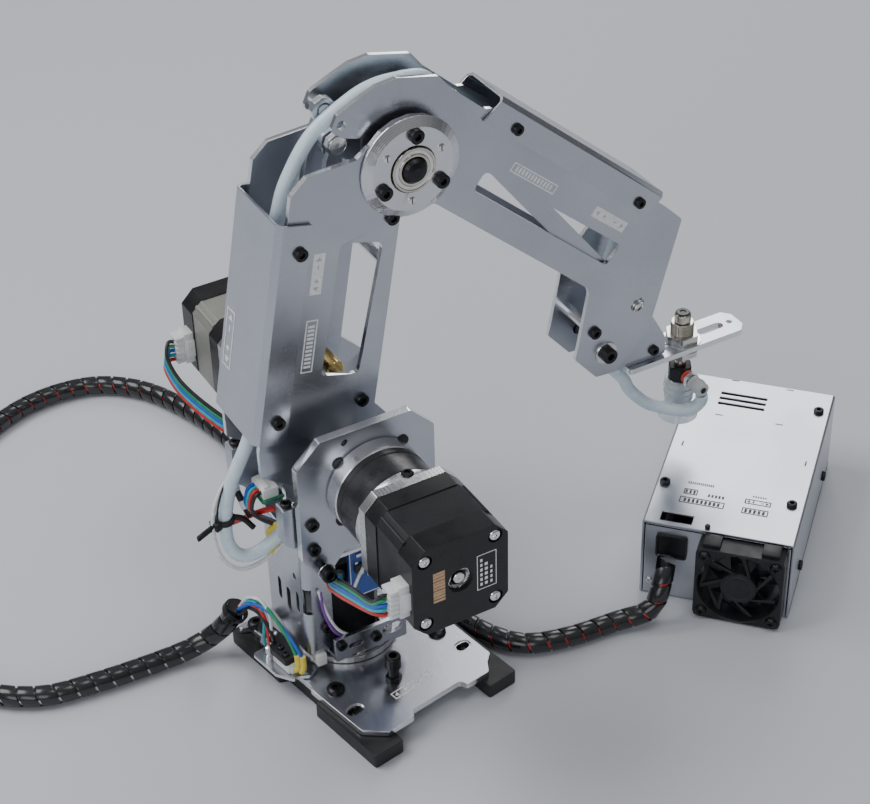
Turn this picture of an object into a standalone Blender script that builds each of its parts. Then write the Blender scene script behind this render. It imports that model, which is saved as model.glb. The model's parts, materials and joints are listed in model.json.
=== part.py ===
# Desktop three-axis robot arm with suction cup, controller box and harness.
# Metres in Blender, millimetres in this source. +Z up, table at z = 0,
# origin under the turntable axis. The base is square to X and Y; the arm
# stands turned by REST_TURN about the turntable axis.
import bpy
import bmesh
from math import radians, sin, cos, pi, hypot
from mathutils import Vector, Matrix
from mathutils.geometry import tessellate_polygon

MM = 0.001

# ---- driving sizes (mm, degrees) ----
REST_TURN = -10.2          # arm heading about +Z
SHOULDER_Z = 118.3         # shoulder axis height
LEAN = 13.15               # lower arm leans forward
LOWER_LEN = 133.8          # shoulder axis to elbow axis
FORE_PITCH = 52.56         # forearm points down
FORE_LEN = 159.7           # elbow axis to wrist axis
ARM_OUT = 17.5             # outer face of the lower arm plates
ARM_T = 2.5                # lower arm plate thickness
FORE_OUT = 12.0            # outer face of the forearm plates
FORE_T = 2.0               # forearm plate thickness
SIDE_OUT = 33.0            # outer face of the motor side plates
SIDE_T = 4.0               # motor side plate thickness
MOTOR_W = 42.3             # square motor body
GEAR_L = 34.5              # gearbox length
MOTOR_L = 37.2             # motor length, front cap to rear cap
PLATE_TOP = 10.2           # top of the base plate
PLATE_T = 2.9              # base plate thickness
RAIL_H = 7.0               # height of the black foot frame
REAR_PIN = (-26.0, 12.7)   # level link pin, from the elbow or shoulder axis
TOP_PIN = (18.0, 16.0)     # upper link pin, from the elbow or wrist axis
DRIVE_PIN = (-25.0, 22.0)  # drive rod pin, from the elbow or shoulder axis
CUP_X = 49.5               # suction axis ahead of the wrist
BOX_YAW = -57.2            # controller box heading
BOX_AT = (124.2, -60.1)    # front left corner of the box
BOX_W = 69.2
BOX_L = 116.7
BOX_H = 42.7
FAN_X = 46.8               # fan centre along the box front
FAN_Z = 20.6
TUBE_R = 2.9               # air tube radius
CABLE_R = 4.7              # wrapped harness radius

for old in list(bpy.data.objects):
    bpy.data.objects.remove(old, do_unlink=True)

ELBOW = (LOWER_LEN * sin(radians(LEAN)), SHOULDER_Z + LOWER_LEN * cos(radians(LEAN)))
WRIST = (ELBOW[0] + FORE_LEN * cos(radians(FORE_PITCH)),
         ELBOW[1] - FORE_LEN * sin(radians(FORE_PITCH)))


# ---- materials ----
def material(name, color, metal, rough):
    mat = bpy.data.materials.new(name)
    mat.use_nodes = True
    bsdf = mat.node_tree.nodes["Principled BSDF"]
    bsdf.inputs["Base Color"].default_value = (color[0], color[1], color[2], 1.0)
    bsdf.inputs["Metallic"].default_value = metal
    bsdf.inputs["Roughness"].default_value = rough
    return mat


ALU = material("satin_aluminium", (0.62, 0.65, 0.70), 1.0, 0.32)
STEEL = material("bright_steel", (0.66, 0.66, 0.66), 1.0, 0.22)
DARK_STEEL = material("black_oxide_steel", (0.03, 0.03, 0.032), 1.0, 0.35)
NICKEL = material("nickel", (0.70, 0.66, 0.58), 1.0, 0.2)
BRASS = material("brass", (0.75, 0.55, 0.22), 1.0, 0.28)
BLACK_PAINT = material("black_motor_paint", (0.02, 0.02, 0.022), 0.0, 0.38)
LAMINATION = material("motor_lamination", (0.22, 0.22, 0.2), 0.8, 0.5)
BLACK_PLASTIC = material("black_plastic", (0.015, 0.015, 0.017), 0.0, 0.45)
WHITE_PLASTIC = material("white_nylon", (0.85, 0.86, 0.86), 0.0, 0.45)
PCB_BLUE = material("blue_board", (0.02, 0.09, 0.35), 0.0, 0.35)
PCB_GREEN = material("green_board", (0.01, 0.22, 0.12), 0.0, 0.35)
SILICONE = material("milky_silicone", (0.70, 0.80, 0.92), 0.0, 0.3)
RED_RUBBER = material("red_seal", (0.7, 0.08, 0.05), 0.0, 0.5)
WRAP = material("black_spiral_wrap", (0.02, 0.02, 0.022), 0.0, 0.25)


# ---- frames ----
def frame(name, parent, x, y, z, turn=(0.0, 0.0, 0.0)):
    node = bpy.data.objects.new(name, None)
    bpy.context.scene.collection.objects.link(node)
    node.parent = parent
    node.location = (x * MM, y * MM, z * MM)
    node.rotation_euler = tuple(radians(a) for a in turn)
    return node


BASE = frame("base_frame_axis", None, 0, 0, 0)
TURN = frame("turntable_axis", None, 0, 0, 0, (0, 0, REST_TURN))
LOWER = frame("lower_arm_axis", TURN, 0, 0, SHOULDER_Z, (0, LEAN, 0))
CRANK = frame("crank_axis", TURN, 0, 0, SHOULDER_Z)
CRANK_PIN = frame("crank_pin_axis", TURN, DRIVE_PIN[0], 0, SHOULDER_Z + DRIVE_PIN[1])
DRIVE = frame("drive_rod_axis", TURN, DRIVE_PIN[0], 0, SHOULDER_Z + DRIVE_PIN[1], (0, LEAN, 0))
LEVEL = frame("level_link_axis", TURN, REAR_PIN[0], 0, SHOULDER_Z + REAR_PIN[1], (0, LEAN, 0))
TRIANGLE = frame("triangle_axis", TURN, ELBOW[0], 0, ELBOW[1])
FORE = frame("forearm_axis", TURN, ELBOW[0], 0, ELBOW[1], (0, FORE_PITCH, 0))
UPPER = frame("upper_link_axis", TURN, ELBOW[0] + TOP_PIN[0], 0, ELBOW[1] + TOP_PIN[1],
              (0, FORE_PITCH, 0))
HAND = frame("wrist_axis", TURN, WRIST[0], 0, WRIST[1])
CUP = frame("cup_axis", TURN, WRIST[0] + CUP_X, 0, WRIST[1])
BOX = frame("box_axis", None, BOX_AT[0], BOX_AT[1], 0, (0, 0, BOX_YAW))
FAN = frame("fan_axis", BOX, FAN_X, -5.0, FAN_Z)


# ---- mesh helpers ----
def finish(name, bm, mat, parent, smooth=None):
    bmesh.ops.remove_doubles(bm, verts=bm.verts, dist=0.004)
    bmesh.ops.recalc_face_normals(bm, faces=bm.faces)
    mesh = bpy.data.meshes.new(name)
    bm.to_mesh(mesh)
    bm.free()
    mesh.transform(Matrix.Scale(MM, 4))
    obj = bpy.data.objects.new(name, mesh)
    bpy.context.scene.collection.objects.link(obj)
    obj.parent = parent
    mesh.materials.append(mat)
    if smooth:
        for poly in mesh.polygons:
            poly.use_smooth = True
        mesh.set_sharp_from_angle(angle=radians(smooth))
    return obj


def circle(cx, cy, r, n=20, start=0.0):
    step = 2.0 * pi / n
    return [(cx + r * cos(start + i * step), cy + r * sin(start + i * step)) for i in range(n)]


def slot(x0, y0, x1, y1, r, n=6):
    """Outline of a round ended slot between two centres."""
    dx, dy = x1 - x0, y1 - y0
    length = hypot(dx, dy)
    ux, uy = dx / length, dy / length
    pts = []
    for cx, cy, sign in ((x1, y1, 1.0), (x0, y0, -1.0)):
        for i in range(n + 1):
            a = -pi / 2 + pi * i / n
            c, s = cos(a) * sign, sin(a) * sign
            pts.append((cx + r * (c * ux - s * uy), cy + r * (c * uy + s * ux)))
    return pts


def rounded(points, radius, n=3):
    """Round every corner of a closed outline; radius is one number or a list."""
    out = []
    count = len(points)
    for i in range(count):
        r = radius[i] if isinstance(radius, (list, tuple)) else radius
        p = Vector(points[i])
        if r <= 0.0:
            out.append((p.x, p.y))
            continue
        a = (Vector(points[i - 1]) - p)
        b = (Vector(points[(i + 1) % count]) - p)
        la, lb = a.length, b.length
        a.normalize()
        b.normalize()
        half = a.angle(b) / 2.0
        cut = min(r / max(sin(half) / cos(half), 0.05), la * 0.45, lb * 0.45)
        p0 = p + a * cut
        p1 = p + b * cut
        for k in range(n + 1):
            t = k / n
            q = p0 * (1 - t) ** 2 + p * 2 * t * (1 - t) + p1 * t ** 2
            out.append((q.x, q.y))
    return out


def place(plane, a, b, h):
    if plane == "xy":
        return (a, b, h)
    if plane == "xz":
        return (a, h, b)
    return (h, a, b)


def prism(name, loops, h0, h1, plane, mat, parent, shift=(0.0, 0.0), smooth=35):
    """Extrude an outline with holes from h0 to h1; shift slides the far face."""
    bm = bmesh.new()
    flat = []
    for loop in loops:
        flat.extend(loop)
    low = [bm.verts.new(place(plane, a, b, h0)) for a, b in flat]
    high = [bm.verts.new(place(plane, a + shift[0], b + shift[1], h1)) for a, b in flat]
    vecs = [[Vector((a, b, 0.0)) for a, b in loop] for loop in loops]
    for tri in tessellate_polygon(vecs):
        bm.faces.new([low[i] for i in tri])
        bm.faces.new([high[i] for i in reversed(tri)])
    start = 0
    for loop in loops:
        count = len(loop)
        for i in range(count):
            j = (i + 1) % count
            bm.faces.new((low[start + i], low[start + j], high[start + j], high[start + i]))
        start += count
    return finish(name, bm, mat, parent, smooth)


def turned(name, profile, axis, mat, parent, n=18, at=(0.0, 0.0, 0.0), ring=False):
    """Revolve (radius, height) points about the named axis; ring joins the ends."""
    bm = bmesh.new()
    rows = []
    for r, h in profile:
        row = []
        for i in range(n):
            a = 2.0 * pi * i / n
            p, q = r * cos(a), r * sin(a)
            if axis == "z":
                co = (at[0] + p, at[1] + q, at[2] + h)
            elif axis == "y":
                co = (at[0] + p, at[1] + h, at[2] + q)
            else:
                co = (at[0] + h, at[1] + p, at[2] + q)
            row.append(bm.verts.new(co))
        rows.append(row)
    pairs = list(zip(rows[:-1], rows[1:]))
    if ring:
        pairs.append((rows[-1], rows[0]))
    for a, b in pairs:
        for i in range(n):
            j = (i + 1) % n
            bm.faces.new((a[i], a[j], b[j], b[i]))
    if not ring:
        bm.faces.new(rows[0])
        bm.faces.new(rows[-1])
    return finish(name, bm, mat, parent, 35)


def block(name, x0, x1, y0, y1, z0, z1, mat, parent, bevel=0.0):
    bm = bmesh.new()
    bmesh.ops.create_cube(bm, size=1.0)
    for v in bm.verts:
        v.co = ((x0 if v.co.x < 0 else x1), (y0 if v.co.y < 0 else y1), (z0 if v.co.z < 0 else z1))
    if bevel > 0.0:
        bmesh.ops.bevel(bm, geom=list(bm.edges), offset=bevel, segments=1, affect="EDGES")
    return finish(name, bm, mat, parent, None)


def weld(obj, *parts):
    """Join pieces made in one with the object; each must reach into it."""
    for i, part in enumerate(parts):
        part.hide_render = True
        part.display_type = "WIRE"
        mod = obj.modifiers.new("weld_%d" % i, "BOOLEAN")
        mod.operation = "UNION"
        mod.solver = "EXACT"
        mod.object = part
    return obj


def octagon(half, cut):
    h, c = half, half - cut
    return [(c, h), (-c, h), (-h, c), (-h, -c), (-c, -h), (c, -h), (h, -c), (h, c)]


def moved(points, dx, dy):
    return [(x + dx, y + dy) for x, y in points]


def smooth_path(route, per_leg):
    """Catmull-Rom points through hand-chosen route points (mm)."""
    pts = [Vector(p) for p in route]
    ext = [pts[0] * 2 - pts[1]] + pts + [pts[-1] * 2 - pts[-2]]
    out = []
    for i in range(1, len(ext) - 2):
        a, b, c, d = ext[i - 1], ext[i], ext[i + 1], ext[i + 2]
        for k in range(per_leg):
            t = k / per_leg
            out.append(0.5 * ((2 * b) + (c - a) * t + (2 * a - 5 * b + 4 * c - d) * t ** 2
                              + (3 * b - a - 3 * c + d) * t ** 3))
    out.append(pts[-1])
    return out


def tube(name, route, per_leg, radius, mat, parent, sides=2):
    curve = bpy.data.curves.new(name, "CURVE")
    curve.dimensions = "3D"
    curve.bevel_depth = radius * MM
    curve.bevel_resolution = sides
    curve.use_fill_caps = True
    curve.render_resolution_u = 0
    pts = smooth_path(route, per_leg)
    spline = curve.splines.new("POLY")
    spline.points.add(len(pts) - 1)
    for point, co in zip(spline.points, pts):
        point.co = (co.x * MM, co.y * MM, co.z * MM, 1.0)
    obj = bpy.data.objects.new(name, curve)
    bpy.context.scene.collection.objects.link(obj)
    obj.parent = parent
    curve.materials.append(mat)
    return obj


# ---- base ----
def make_base():
    # black foot frame: two rails joined by a web under the plate
    foot = [(-37.6, -67.6), (-22.3, -67.6), (-22.3, -54.0), (-22.3, -12.0), (26.1, -12.0),
            (26.1, -67.6), (41.4, -67.6), (41.4, -26.0), (37.4, -24.0), (37.4, -1.0),
            (41.4, 1.0), (41.4, 36.5), (26.1, 36.5), (26.1, 12.0), (-22.3, 12.0),
            (-22.3, 36.5), (-37.6, 36.5), (-37.6, 1.0), (-33.6, -1.0), (-33.6, -24.0),
            (-37.6, -26.0)]
    prism("base_frame", [rounded(foot, 1.2, 2)], 0.0, RAIL_H, "xy", BLACK_PLASTIC, BASE)
    plate = [(-34.3, -53.9), (-25.9, -62.2), (-11.9, -62.2), (-10.3, -58.8), (16.2, -58.8),
             (17.8, -62.6), (30.0, -62.6), (33.6, -57.6), (38.1, -54.1), (38.1, -2.0),
             (38.1, 33.8), (-35.6, 33.8), (-35.6, 31.6), (-31.8, 29.6), (-31.8, 21.4),
             (-34.3, 18.9), (-34.3, -18.5), (-35.4, -20.0)]
    holes = [slot(-30.0, -42.5, -27.5, -42.5, 3.0, 5), slot(31.0, -42.5, 33.0, -42.5, 3.0, 5),
             circle(0, 0, 7.0, 16)]
    prism("base_plate", [rounded(plate, 0.9, 1)] + holes, RAIL_H + 0.3, PLATE_TOP, "xy", ALU, BASE)
    turned("turntable_ring", [(8.0, 10.5), (22.6, 10.5), (22.6, 13.6), (8.0, 13.6)], "z",
           STEEL, BASE, 48, ring=True)
    turned("stop_post", [(2.6, 10.5), (2.6, 17.6), (3.6, 17.6), (3.6, 23.4), (3.0, 24.0)], "z",
           DARK_STEEL, BASE, 14, at=(-4.1, -38.6, 0))
    # limit switch on its small flange at the left edge
    flange = [(-42.5, 13.0), (-29.5, 13.0), (-29.5, 4.0), (-25.0, -12.5), (-31.5, -15.0),
              (-35.5, -12.0), (-38.5, -12.0), (-42.5, -4.0)]
    prism("limit_flange", [rounded(flange, 1.0, 1)], 10.6, 12.2, "xy", STEEL, BASE)
    block("limit_switch", -39.6, -31.0, -8.4, 3.4, 12.6, 20.6, WHITE_PLASTIC, BASE, 0.5)


# ---- turntable and column ----
def make_turntable():
    turned("turntable_disc", [(8.0, 13.95), (20.8, 13.95), (20.8, 17.9), (8.0, 17.9)], "z", STEEL,
           TURN, 48, ring=True)
    # bent bracket: floor with an upright front and back flange
    section = [(-24.6, 18.2), (24.6, 18.2), (24.6, 30.4), (22.6, 30.4), (22.6, 20.2),
               (-22.6, 20.2), (-22.6, 30.4), (-24.6, 30.4)]
    prism("turntable_bracket", [section], -17.4, 17.4, "yz", ALU, TURN)
    # upright column sheet, open to the front and to the right
    wall = [(-27.0, -17.6), (-14.5, -17.6), (-14.5, -16.0), (-25.2, -16.0), (-25.2, 20.3),
            (16.0, 20.3), (16.0, 21.9), (-27.0, 21.9)]
    prism("column_sheet", [rounded(wall, [3.0, 0, 0, 1.4, 0, 0, 0, 1.4], 3)], 20.6, 79.0, "xy",
          ALU, TURN)
    cap = [(-27.0, -28.4), (20.0, -28.4), (20.0, 28.4), (-27.0, 28.4)]
    prism("column_cap", [rounded(cap, 1.5, 2), circle(4.0, 0, 9.0, 16)], 79.4, 81.4, "xy", ALU, TURN)
    # motor that turns the arm, standing on the turntable floor
    body = moved(octagon(14.1, 3.5), -3.0, 0.0)
    prism("base_motor", [body], 20.7, 62.0, "xy", BLACK_PAINT, TURN)
    block("control_board", -7.0, 17.0, -20.8, -19.2, 47.0, 78.4, PCB_BLUE, TURN)
    side = [(-33.4, 17.3), (-22.3, 28.0), (19.0, 28.0), (29.5, 17.3), (29.5, -20.0), (12.0, -31.0),
            (-14.0, -31.0), (-20.0, -38.5), (-27.0, -38.5), (-33.4, -29.5)]
    loop = rounded(side, 1.8, 2)
    for tag, y0, y1 in (("near", -SIDE_OUT, -SIDE_OUT + SIDE_T), ("far", SIDE_OUT - SIDE_T, SIDE_OUT)):
        prism("side_plate_" + tag, [moved(loop, 0, SHOULDER_Z), circle(0, SHOULDER_Z, 11.5, 20)],
              y0, y1, "xz", ALU, TURN)
    # post with the fixed pin of the levelling linkage, between the arm plates
    post = [(-29.5, 81.8), (-20.5, 81.8), (-21.5, 128.0), (-23.5, 135.0), (-28.5, 135.0),
            (-30.5, 128.0)]
    post_obj = prism("link_post", [rounded(post, 1.6, 2)], -13.6, -10.0, "xz", STEEL, TURN)
    weld(post_obj, turned("link_post_pin", [(2.4, -12.0), (2.4, -6.3)], "y", BRASS, TURN, 14,
                          at=(-26.0, 0, 131.0)))


def make_drive(tag, side):
    """Planetary gearbox and stepper motor on one side plate (side is -1 or +1)."""
    z = SHOULDER_Z
    y0 = side * (SIDE_OUT + 0.3)
    length = GEAR_L - 0.6

    def prof(points):
        return [(r, y0 + side * h) for r, h in points]
    turned(tag + "_gearbox", prof([(19.6, 0), (21.0, 0.8), (21.0, 8.0), (20.2, 8.4), (20.2, 25.0),
                                   (21.0, 25.4), (21.0, length - 4.2), (19.0, length - 3.9),
                                   (19.0, length)]), "y", ALU, TURN, 24, at=(0, 0, z))
    y1 = y0 + side * (length + 0.3)
    # front cap, lamination stack and rear cap as one stepped body
    full, core = octagon(MOTOR_W / 2, 5.9), octagon(MOTOR_W / 2 - 0.4, 4.6)
    bm = bmesh.new()
    rows = []
    for outline, h in ((full, 0.0), (full, 8.6), (core, 8.6), (core, 26.2), (full, 26.2),
                       (full, MOTOR_L)):
        rows.append([bm.verts.new((x, y1 + side * h, z + v)) for x, v in outline])
    bm.faces.new(rows[0])
    bm.faces.new(rows[-1])
    for a, b in zip(rows[:-1], rows[1:]):
        for k in range(8):
            bm.faces.new((a[k], a[(k + 1) % 8], b[(k + 1) % 8], b[k]))
    finish(tag + "_motor", bm, BLACK_PAINT, TURN)
    lo, hi = sorted((y1 + side * 27.4, y1 + side * 34.6))
    block(tag + "_connector", -29.4, -21.5, lo, hi, z - 10.5, z + 5.0, WHITE_PLASTIC, TURN, 0.4)


# ---- lower arm ----
def make_lower_arm():
    outline = [(-42.5, -2.0), (-45.4, 10.0), (-49.0, 112.0), (-49.4, 124.0), (-44.0, 131.5), (-23.5, 137.6),
               (-19.5, 142.5)]
    for i in range(11):
        a = radians(155.0 - i * 18.5)
        outline.append((20.8 * cos(a), LOWER_LEN + 20.8 * sin(a)))
    outline += [(0.4, 111.5), (4.8, 27.0), (13.0, 20.0)]
    for i in range(7):
        a = radians(35.0 - i * 24.0)
        outline.append((19.0 * cos(a), 19.0 * sin(a)))
    window = rounded([(-24.2, 102.5), (-5.2, 101.5), (-5.4, 42.2), (-22.6, 43.2)], 3.0, 3)
    for tag, y0, hub in (("near", -ARM_OUT, 7.0), ("far", ARM_OUT - ARM_T, 10.6)):
        far = prism("lower_plate_" + tag, [outline, window, circle(0, 0, hub, 18),
                                     circle(0, LOWER_LEN, 6.0, 16)],
              y0, y0 + ARM_T, "xz", ALU, LOWER)
    # folded rear cover, flanges outside the plates
    out, thick = ARM_OUT + 1.6, 1.2
    low = [(-34.5, -out), (-34.5, -out + thick), (-46.2, -out + thick), (-47.8, -out + 2.8),
           (-47.8, out - 2.8), (-46.2, out - thick), (-34.5, out - thick), (-34.5, out),
           (-46.6, out), (-49.0, out - 2.4), (-49.0, -out + 2.4), (-46.6, -out)]
    low = [(x, y) for x, y in low]
    prism("rear_cover", [low], 14.3, 112.6, "xy", ALU, LOWER, shift=(-4.6, 0.0))
    turned("shoulder_hub", [(4.0, -28.6), (10.4, -28.6), (10.4, -20.4), (14.5, -20.0), (14.5, -17.8),
                            (4.0, -17.8)], "y", STEEL, LOWER, 32, ring=True)
    spacers = [turned("lower_spacer_%d" % (i + 1), [(2.3, -14.7), (2.3, 16.0)], "y", STEEL, LOWER,
                      12, at=(x, 0, z)) for i, (x, z) in enumerate(((-1.8, 29.5), (-2.4, 92.0)))]
    weld(far, *spacers)
    for tag, s in (("near", -1.0), ("far", 1.0)):
        turned("elbow_flange_" + tag, [(9.8, s * 17.8), (21.4, s * 17.8), (21.4, s * 18.8),
                                       (17.6, s * 21.0), (9.8, s * 21.0)], "y", ALU, LOWER, 48,
               at=(0, 0, LOWER_LEN), ring=True)
        turned("elbow_bearing_" + tag, [(5.6, s * 17.9), (9.45, s * 17.9), (9.45, s * 21.9),
                                        (8.5, s * 21.9), (8.2, s * 21.4), (7.0, s * 21.4),
                                        (6.7, s * 21.9), (5.6, s * 21.9)], "y", STEEL, LOWER, 32,
               at=(0, 0, LOWER_LEN), ring=True)
    turned("elbow_axle", [(2.0, -24.4), (4.2, -23.8), (5.3, -22.5), (5.3, 22.5), (4.2, 23.8),
                          (2.0, 24.4)], "y", DARK_STEEL, LOWER, 28, at=(0, 0, LOWER_LEN))


# ---- crank and rods ----
def bar(name, length, width, y0, y1, mat, parent, along, r0, r1):
    """Flat link with an eye at each end, along local z or x."""
    half = width / 2.0
    ring0 = [radians(a) for a in range(130, 411, 40)]
    ring1 = [radians(a) for a in range(-50, 231, 40)]
    eye = half * 1.28
    pts = [(eye * cos(a), eye * sin(a)) for a in ring0]
    pts += [(half, eye * 1.6), (half, length - eye * 1.6)]
    pts += [(eye * cos(a), length + eye * sin(a)) for a in ring1]
    pts += [(-half, length - eye * 1.6), (-half, eye * 1.6)]
    loops = [pts, circle(0, 0, r0, 14), circle(0, length, r1, 14)]
    if along == "x":
        loops = [[(b, a) for a, b in loop] for loop in loops]
    return prism(name, loops, y0, y1, "xz", mat, parent)


def make_links():
    bar("drive_rod", LOWER_LEN, 8.0, 2.4, 5.6, STEEL, DRIVE, "z", 2.9, 2.9)
    bar("level_link", LOWER_LEN, 7.0, -9.4, -6.4, STEEL, LEVEL, "z", 2.9, 2.9)
    bar("upper_link", FORE_LEN, 8.0, -9.4, -6.4, ALU, UPPER, "x", 2.9, 2.9)
    # crank: lever inside the arm, hub through the far plate to the gearbox
    px, pz = DRIVE_PIN
    hub = circle(0, 0, 9.2, 20)
    lever = []
    ux, uz = px / hypot(px, pz), pz / hypot(px, pz)
    for a in range(100, 261, 20):
        lever.append((9.6 * (ux * cos(radians(a)) - uz * sin(radians(a))),
                      9.6 * (uz * cos(radians(a)) + ux * sin(radians(a)))))
    for a in range(-80, 81, 20):
        lever.append((px + 5.6 * (ux * cos(radians(a)) - uz * sin(radians(a))),
                      pz + 5.6 * (uz * cos(radians(a)) + ux * sin(radians(a)))))
    crank = prism("elbow_crank", [lever, circle(px, pz, 2.9, 14)], 6.2, 10.0, "xz", STEEL, CRANK)
    weld(crank, prism("crank_hub", [hub], 8.0, 28.7, "xz", STEEL, CRANK))
    turned("crank_pin", [(2.4, 1.6), (2.4, 10.3)], "y", BRASS, CRANK_PIN, 14)
    # level triangle on the elbow axis
    rx, rz = REAR_PIN
    tx, tz = TOP_PIN
    tri = [(0.0, -8.4), (7.6, -3.8), (tx + 5.4, tz - 2.4), (tx + 3.8, tz + 4.4), (tx - 3.6, tz + 4.8),
           (0.0, 15.0), (rx + 2.0, rz + 5.6), (rx - 4.4, rz + 3.6), (rx - 5.0, rz - 3.6), (-8.4, -3.6)]
    plate = prism("level_triangle", [rounded(tri, 1.8, 2), circle(0, 0, 5.8, 18)], -5.8, -2.8, "xz",
                  ALU, TRIANGLE)
    pins = [turned("triangle_pin_" + tag, [(2.4, -9.6), (2.4, -4.0)], "y", BRASS, TRIANGLE, 14,
                   at=(x, 0, z)) for tag, x, z in (("rear", rx, rz), ("top", tx, tz))]
    weld(plate, *pins)


# ---- forearm ----
def make_forearm():
    near = [(-37.5, -5.0), (-35.5, 4.0), (-33.0, 13.0), (-28.5, 20.5), (-14.0, 32.3), (-6.0, 32.3),
            (14.0, 36.0), (16.6, 38.5), (124.9, 62.0), (137.7, 63.6), (168.4, 22.2),
            (172.6, -3.2), (165.8, -10.8), (148.6, -11.6), (145.0, -7.0), (127.0, 13.0),
            (123.8, 14.4), (27.8, -3.7), (17.0, -12.0), (0.0, -15.0), (-14.0, -11.0),
            (-21.0, -4.6), (-28.0, -9.6), (-34.5, -11.0)]
    window = rounded([(38.0, 10.4), (36.0, 19.2), (121.0, 37.2), (122.7, 26.6)], 2.2, 2)
    px = DRIVE_PIN[0] * cos(radians(FORE_PITCH)) - DRIVE_PIN[1] * sin(radians(FORE_PITCH))
    pz = DRIVE_PIN[0] * sin(radians(FORE_PITCH)) + DRIVE_PIN[1] * cos(radians(FORE_PITCH))
    holes = [window, circle(0, 0, 5.8, 18), circle(153.9, 24.4, 3.4, 16),
             circle(FORE_LEN, 0, 2.9, 14)]
    loop = rounded(near, 1.6, 2)
    prism("forearm_plate_near", [loop, circle(px, pz, 1.9, 12)] + holes, -FORE_OUT, -FORE_OUT + FORE_T, "xz", ALU, FORE)
    far = prism("forearm_plate_far", [loop] + holes, FORE_OUT - FORE_T, FORE_OUT, "xz", ALU, FORE)
    # folded top cover over both plates
    out, thick = FORE_OUT + 1.5, 1.2
    sec = [(-out, 32.0), (-out + thick, 32.0), (-out + thick, 42.0), (-out + 2.6, 43.4),
           (out - 2.6, 43.4), (out - thick, 42.0), (out - thick, 32.0), (out, 32.0), (out, 42.6),
           (out - 2.0, 44.6), (-out + 2.0, 44.6), (-out, 42.6)]
    prism("forearm_cover", [sec], 16.6, 118.5, "yz", ALU, FORE, shift=(0.0, 20.8))
    weld(far, turned("forearm_spacer", [(2.6, -9.7), (2.6, 11.0)], "y", STEEL, FORE, 12,
                     at=(145.7, 0, 2.9)),
         turned("forearm_drive_pin", [(2.4, 1.8), (2.4, 11.0)], "y", BRASS, FORE, 14,
                at=(px, 0, pz)))
    turned("wrist_axle", [(2.3, -13.9), (2.3, 12.3), (4.4, 12.3), (4.4, 15.0)], "y", DARK_STEEL,
           FORE, 14, at=(FORE_LEN, 0, 0))


# ---- hand ----
def make_hand():
    tx, tz = TOP_PIN
    # upright web at the wrist; the level tongue hangs under it
    web = [(-7.0, -1.0), (-5.0, 5.0), (tx - 6.0, tz + 3.6), (tx - 1.0, tz + 5.4),
           (tx + 4.6, tz + 3.4), (tx + 6.0, tz - 2.0), (36.5, -9.0), (36.5, -17.6), (6.0, -17.6),
           (-4.0, -7.0)]
    plate = prism("wrist_web", [rounded(web, 1.6, 2), circle(0, 0, 2.8, 14)], -5.6, -2.6, "xz", ALU,
                  HAND)
    weld(plate, turned("wrist_pin", [(2.4, -9.6), (2.4, -4.0)], "y", BRASS, HAND, 14,
                       at=(tx, 0, tz)))
    tongue = rounded([(16.0, -8.4), (77.0, -8.4), (80.5, -4.4), (80.5, 4.4), (77.0, 8.4),
                      (16.0, 8.4)], 1.4, 2)
    prism("wrist_tongue", [tongue, circle(CUP_X, 0, 5.3, 18), slot(60.5, 0.0, 70.0, 0.0, 2.2, 5),
                           circle(76.0, 0.0, 1.4, 12), circle(39.6, -3.0, 1.3, 12)],
          -20.8, -18.0, "xy", ALU, HAND)
    bush = turned("shaft_bush", [(3.1, -26.4), (5.0, -26.4), (5.0, -8.0), (3.1, -8.0)], "z", NICKEL,
                  HAND, 28, at=(CUP_X, 0, 0), ring=True)
    hexa = moved(circle(0, 0, 8.0, 6), CUP_X, 0)
    bore = circle(CUP_X, 0, 4.2, 18)
    weld(bush, prism("bush_nut_upper", [hexa, bore], -17.6, -13.8, "xy", NICKEL, HAND),
         prism("bush_nut_lower", [hexa, bore], -25.2, -21.2, "xy", NICKEL, HAND))
    # sprung part: stem, black body, side fitting with its red seal, cup
    turned("suction_stem", [(2.7, -31.6), (2.7, -7.6), (3.8, -7.4), (3.8, -4.2), (3.4, -3.7)], "z",
           NICKEL, CUP, 24)
    prism("suction_body", [circle(0, 0, 5.8, 6)], -39.0, -31.9, "xy", BLACK_PLASTIC, CUP)
    fit_z = -35.6
    turned("suction_seal", [(3.3, -7.2), (3.3, -5.4)], "y", RED_RUBBER, CUP, 24, at=(0, 0, fit_z))
    turned("suction_fitting", [(2.0, -14.6), (3.0, -14.2), (3.2, -10.4), (2.4, -10.0), (2.4, -7.5)],
           "y", STEEL, CUP, 24, at=(0, 0, fit_z))
    turned("suction_cup", [(2.0, -39.4), (6.7, -39.4), (6.9, -40.6), (6.7, -50.0), (5.9, -52.4),
                           (9.4, -59.6), (8.8, -59.9), (5.0, -53.8), (2.0, -52.0)], "z", SILICONE,
           CUP, 32, ring=True)


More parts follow.
